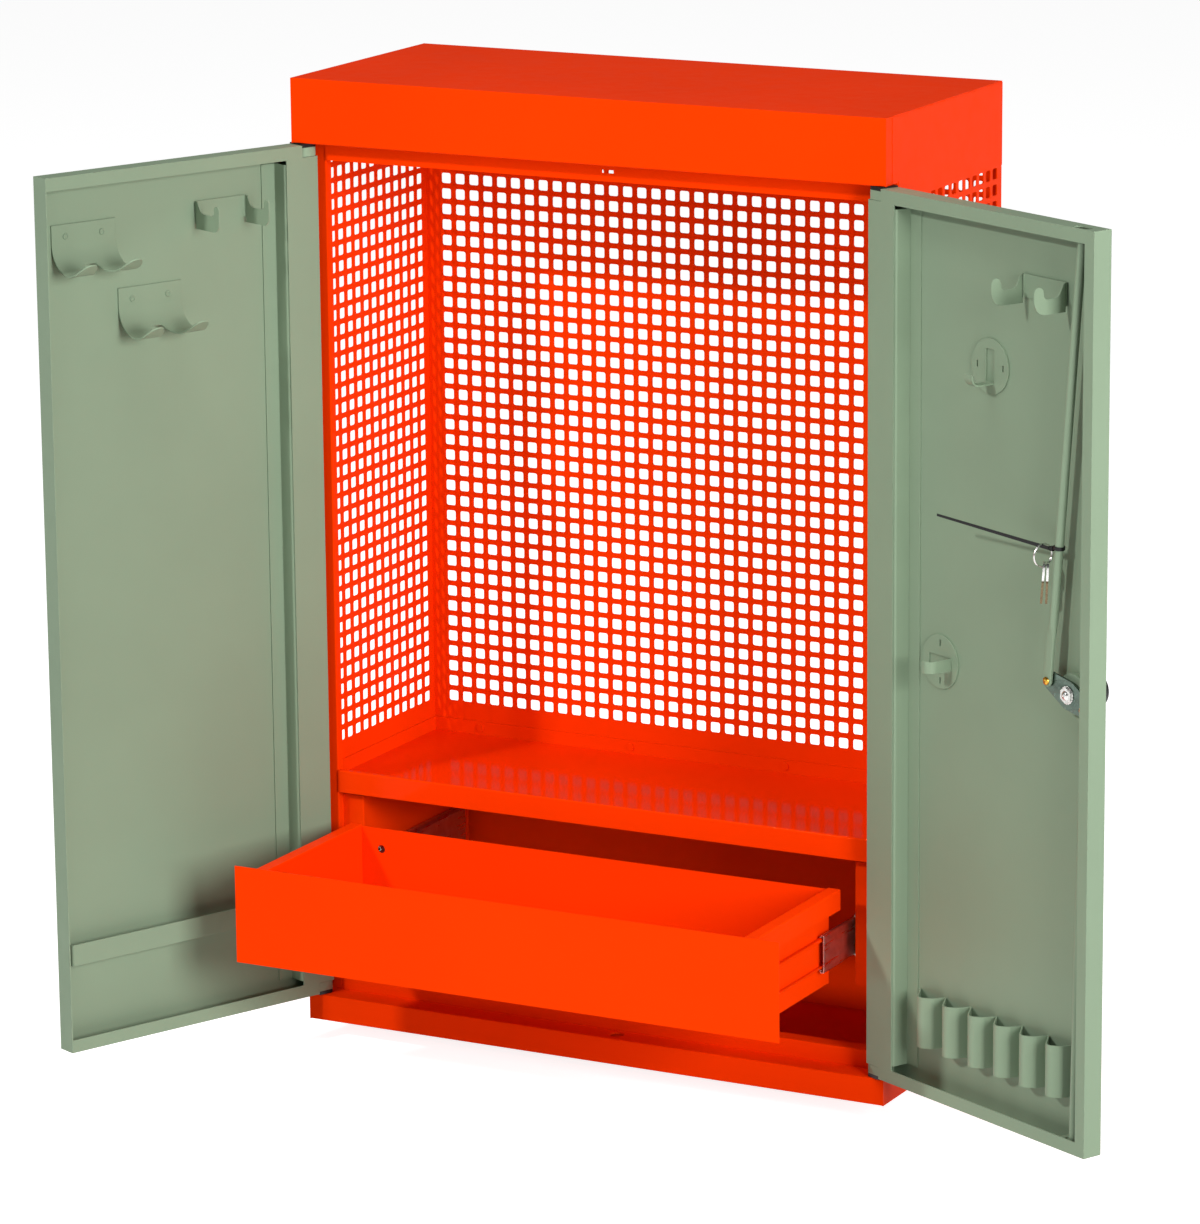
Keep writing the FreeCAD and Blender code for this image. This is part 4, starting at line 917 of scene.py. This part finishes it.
class CABINET_OT_keys(bpy.types.Operator):
    """Makes the cable tie and hangs the split ring with its two keys on its tail"""

    bl_idname = "cabinet.keys"
    bl_label = "Keys"

    def execute(self, context):
        hang = door_frame("right")
        swing = JOINTS["key_ring_swing"]
        own = hang.inverted()
        touch = own @ Vector(swing["pos_m"])
        along = (own.to_3x3() @ Vector(swing["axis"])).normalized()
        rod = Vector((243.6, 13.6, touch.z))
        lean = Vector((0.0944, 0, 0.9955))
        out = -1 if along.x > 0 else 1
        root = touch - along * out * 14

        loop = turned([(4.15, -1.6), (5.15, -1.6), (5.15, 1.6), (4.15, 1.6), (4.15, -1.6)], 40)
        loop.transform(Matrix.Translation(rod) @ Vector((0, 0, 1)).rotation_difference(lean).to_matrix().to_4x4())
        head = bmesh.new()
        bmesh.ops.create_cube(head, size=1)
        head.transform(Matrix.Translation(root + Vector((2.4, -1.6, 0))) @ Matrix.Diagonal((4.4, 3.2, 4, 1)))
        tail = bmesh.new()
        tail_length = 122
        far = root + along * out * tail_length
        side = along.cross(Vector((0, 0, 1))).normalized()
        ends = []
        up = Vector((0, 0, 1))
        for place, tall, thick in ((root, 3.2, 1.2), (far, 2.2, 0.9)):
            around = ((-1, -1), (1, -1), (1, 1), (-1, 1))
            points = [place + side * a * thick / 2 + up * (b * tall / 2) for a, b in around]
            ends.append([tail.verts.new(point) for point in points])
        for i in range(4):
            tail.faces.new((ends[0][i - 1], ends[0][i], ends[1][i], ends[1][i - 1]))
        for end in ends:
            tail.faces.new(end)
        mesh = placed(joined([loop, head, tail]), hang)
        piece_from(mesh, "tie", "upper_rod", "black plastic", ["cable_tie"], edge=0.2)

        radius, wire = 10, 0.5
        spot = touch - along * out * 8
        middle = spot - Vector((0, 0, radius - 2.4))
        turns = []
        for shift in (-wire, wire):
            angles = [math.tau * i / 10 for i in range(11)]
            section = [(radius + wire * math.cos(angle), wire * math.sin(angle)) for angle in angles]
            turn = turned(section, 48)
            turn.transform(Matrix.Translation(middle + Vector((shift, 0, 0))) @ Matrix.Rotation(math.pi / 2, 4, "Y"))
            turns.append(turn)
        mesh = placed(joined(turns), hang)
        piece_from(mesh, "split_ring", "keys", "nickel plate", ["key_ring"])

        face = Vector((0.752, 0.66, 0))
        thin = Vector((-0.66, 0.752, 0))
        for name, shift, tilt in (("front_key", 1.6, 4), ("rear_key", -1.6, 2)):
            outline = [(-6, 3), (6, 3), (6, -12), (3.3, -15), (3.3, -31), (1.6, -33.5), (-2.4, -33.5), (-2.4, -31)]
            bits, bit_pitch = 4, 3.4
            for bit in range(bits):
                low = -31 + bit * bit_pitch
                outline += [(-3.3, low + 1.2), (-2.2, low + 2.4)]
            outline += [(-3.3, -15), (-6, -12)]
            rounds = [4.5, 4.5, 3] + [0] * (len(outline) - 4) + [3]
            key = plate(outline, rounds, 2, circles=[(0, 0, 2.2)], segments=6)
            turn = Matrix((face, Vector((0, 0, 1)), thin)).transposed().to_4x4()
            hung = middle - Vector((0, 3.5, radius - 0.7))
            lay = Matrix.Translation(hung + thin * shift) @ Matrix.Rotation(math.radians(tilt), 4, face) @ turn
            mesh = placed(key, Matrix.Translation((0, 0, -1)), lay, hang)
            thing = piece_from(mesh, name + "_cut", "keys", "nickel plate", [name], edge=0.2)
            thing.data.materials.append(material("key brass"))
            below = (hang @ (hung - Vector((0, 0, 13.5)))).z
            for part in thing.data.polygons:
                part.material_index = int(part.center.z < below)
        return {"FINISHED"}


class CABINET_OT_runners(bpy.types.Operator):
    """Rolls the runners' members with their curved races and sets the balls between them"""

    bl_idname = "cabinet.runners"
    bl_label = "Runners"

    def execute(self, context):
        sheet = 1.15
        for side, way in (("left", 1), ("right", -1)):
            for name, body, finish, opens, web_inset, lip, knee, bends, back in (
                ("runner_outer", "cabinet", "zinc plate", 1, 0, 2.6, 1.8, (1.2, 2.4), 22),
                ("runner_middle", side + "_runner_middle", "zinc plate", 1, 2.8, 2.2, 1.6, (1.2, 2.0), 0),
                ("runner_inner", "drawer", "body paint", -1, 0, 2.0, 1.4, (1.0, 2.0), 0),
            ):
                node = side + "_" + name
                low, high = box_mm(node, way)
                tip, web = (high.x, low.x + web_inset) if opens > 0 else (low.x, high.x)
                knee_x = tip - opens * knee
                upper = [(tip, high.z - lip), (knee_x, high.z), (web, high.z)]
                lower = [(web, low.z), (knee_x, low.z), (tip, low.z + lip)]
                path = [(x, low.y + back, z) for x, z in upper + lower]
                rounds = [bends[0], bends[1], bends[1], bends[0]]
                length = high.y - low.y - back
                mesh = folded(path, rounds, (0, length, 0), sheet, (-opens, 0, -1), segments=6)
                mesh.transform(Matrix.Diagonal((way * MM, MM, MM, 1)))
                piece_from(mesh, node + "_rail", body, finish, [node], edge=0.15)
            for cage in ("outer", "inner"):
                node = side + "_" + cage + "_ball_cages"
                low, high = box_mm(node, way)
                parts = []
                radius, spacing = (1.35 if cage == "outer" else 1.3), 7
                for top in (0, 1):
                    level = high.z - radius if top else low.z + radius
                    strip = bmesh.new()
                    bmesh.ops.create_cube(strip, size=1)
                    strip.transform(
                        Matrix.Translation(((low.x + high.x) / 2, (low.y + high.y) / 2, level))
                        @ Matrix.Diagonal((high.x - low.x - 0.4, high.y - low.y, 0.7, 1))
                    )
                    parts.append(strip)
                    count = int((high.y - low.y) / spacing)
                    for i in range(count):
                        ball = bmesh.new()
                        bmesh.ops.create_icosphere(ball, subdivisions=2, radius=radius)
                        y = low.y + (i + 0.5) * (high.y - low.y) / count
                        bmesh.ops.translate(ball, verts=ball.verts[:], vec=((low.x + high.x) / 2, y, level))
                        parts.append(ball)
                mesh = placed(joined(parts), Matrix.Diagonal((way * MM, MM, MM, 1)))
                body = side + ("_outer_cages" if cage == "outer" else "_inner_cages")
                piece_from(mesh, node + "_balls", body, "nickel plate", [node])
        return {"FINISHED"}


class CABINET_OT_stage(bpy.types.Operator):
    """Sets the floor, the lamps and the camera"""

    bl_idname = "cabinet.stage"
    bl_label = "Stage"

    def execute(self, context):
        scene = context.scene
        mesh = bmesh.new()
        bmesh.ops.create_grid(mesh, x_segments=1, y_segments=1, size=30)
        bmesh.ops.translate(mesh, verts=mesh.verts[:], vec=(0, 0, cad_box[0][2] - 0.02))
        data = bpy.data.meshes.new("floor")
        mesh.to_mesh(data)
        mesh.free()
        floor = bpy.data.objects.new("floor", data)
        scene.collection.objects.link(floor)
        surface = bpy.data.materials.new("studio floor")
        surface.use_nodes = True
        tree = surface.node_tree
        shader = tree.nodes["Principled BSDF"]
        shader.inputs["Base Color"].default_value = (0.8, 0.8, 0.8, 1)
        shader.inputs["Roughness"].default_value = 0.9
        shader.inputs["Specular IOR Level"].default_value = 0.0
        path = tree.nodes.new("ShaderNodeLightPath")
        seen = tree.nodes.new("ShaderNodeMath")
        seen.operation = "MAXIMUM"
        tree.links.new(path.outputs["Is Camera Ray"], seen.inputs[0])
        tree.links.new(path.outputs["Is Glossy Ray"], seen.inputs[1])
        glow = tree.nodes.new("ShaderNodeMath")
        glow.operation = "MULTIPLY"
        glow.inputs[1].default_value = 0.85
        tree.links.new(seen.outputs[0], glow.inputs[0])
        shader.inputs["Emission Color"].default_value = (1, 1, 1, 1)
        tree.links.new(glow.outputs[0], shader.inputs["Emission Strength"])
        data.materials.append(surface)

        world = bpy.data.worlds.new("studio")
        scene.world = world
        world.use_nodes = True
        tree = world.node_tree
        sky = tree.nodes["Background"]
        sky.inputs["Color"].default_value = (1, 1, 1, 1)
        path = tree.nodes.new("ShaderNodeLightPath")
        level = tree.nodes.new("ShaderNodeMapRange")
        level.inputs["To Min"].default_value = 0.09
        level.inputs["To Max"].default_value = 1.1
        tree.links.new(path.outputs["Is Camera Ray"], level.inputs["Value"])
        tree.links.new(level.outputs["Result"], sky.inputs["Strength"])
        lamps = (
            ("door light", (-2.0, -4.3, 2.8), (0.3, -0.3, 0), 0.35, 130),
            ("right side", (3.6, -2.3, 1.1), (0, -0.3, 0), 1.7, 175),
            ("top", (-0.2, -0.9, 3.2), (0, -0.2, 0), 2.0, 45),
        )
        for name, place, aim, size, power in lamps:
            lamp = bpy.data.lights.new(name, "AREA")
            lamp.size = size
            lamp.energy = power
            thing = bpy.data.objects.new(name, lamp)
            scene.collection.objects.link(thing)
            away = Vector(place) - Vector(aim)
            thing.location = place
            thing.visible_glossy = name != "top"
            thing.rotation_euler = away.to_track_quat("Z", "Y").to_euler()

        right = Vector((0.88602, 0.46356, -0.00865))
        down = Vector((0.10111, -0.2114, -0.97216))
        forward = Vector((-0.45248, 0.86048, -0.23417))
        view = bpy.data.cameras.new("view")
        view.sensor_fit = "VERTICAL"
        view.sensor_width = 36
        view.sensor_height = 36
        view.lens = 5748 * 36 / 1224
        view.clip_end = 100
        eye = bpy.data.objects.new("view", view)
        scene.collection.objects.link(eye)
        turn = Matrix((right, -down, -forward)).transposed().to_4x4()
        eye.matrix_world = Matrix.Translation((2.3794, -4.7457, 1.1936)) @ turn
        scene.camera = eye
        scene.view_settings.view_transform = "Standard"
        return {"FINISHED"}


class CABINET_PT_panel(bpy.types.Panel):
    bl_label = "Tool cabinet"
    bl_idname = "CABINET_PT_panel"
    bl_space_type = "VIEW_3D"
    bl_region_type = "UI"
    bl_category = "Cabinet"

    def draw(self, context):
        layout = self.layout
        scene = context.scene
        for group in (scene.cabinet_sizes, scene.cabinet_hooks, scene.cabinet_lock, scene.cabinet_colours):
            for key in group.bl_rna.properties.keys():
                if key not in ("rna_type", "name"):
                    layout.prop(group, key)
        for operator in OPERATORS:
            layout.operator(operator.bl_idname)


OPERATORS = (
    CABINET_OT_finishes,
    CABINET_OT_perforated_walls,
    CABINET_OT_wide_hooks,
    CABINET_OT_twin_hooks,
    CABINET_OT_plate_hooks,
    CABINET_OT_holders,
    CABINET_OT_corners,
    CABINET_OT_lock,
    CABINET_OT_rods,
    CABINET_OT_keys,
    CABINET_OT_runners,
    CABINET_OT_stage,
)
CLASSES = (CabinetSizes, CabinetHooks, CabinetLock, CabinetColours, *OPERATORS, CABINET_PT_panel)


def register():
    for cls in CLASSES:
        bpy.utils.register_class(cls)
    bpy.types.Scene.cabinet_sizes = bpy.props.PointerProperty(type=CabinetSizes)
    bpy.types.Scene.cabinet_hooks = bpy.props.PointerProperty(type=CabinetHooks)
    bpy.types.Scene.cabinet_lock = bpy.props.PointerProperty(type=CabinetLock)
    bpy.types.Scene.cabinet_colours = bpy.props.PointerProperty(type=CabinetColours)


def unregister():
    del bpy.types.Scene.cabinet_colours
    del bpy.types.Scene.cabinet_lock
    del bpy.types.Scene.cabinet_hooks
    del bpy.types.Scene.cabinet_sizes
    for cls in reversed(CLASSES):
        bpy.utils.unregister_class(cls)


def main():
    register()
    bpy.ops.cabinet.finishes()
    bpy.ops.cabinet.perforated_walls()
    bpy.ops.cabinet.wide_hooks()
    bpy.ops.cabinet.twin_hooks()
    bpy.ops.cabinet.plate_hooks()
    bpy.ops.cabinet.holders()
    bpy.ops.cabinet.corners()
    bpy.ops.cabinet.lock()
    bpy.ops.cabinet.rods()
    bpy.ops.cabinet.keys()
    bpy.ops.cabinet.runners()
    bpy.ops.cabinet.stage()


if __name__ == "__main__":
    main()
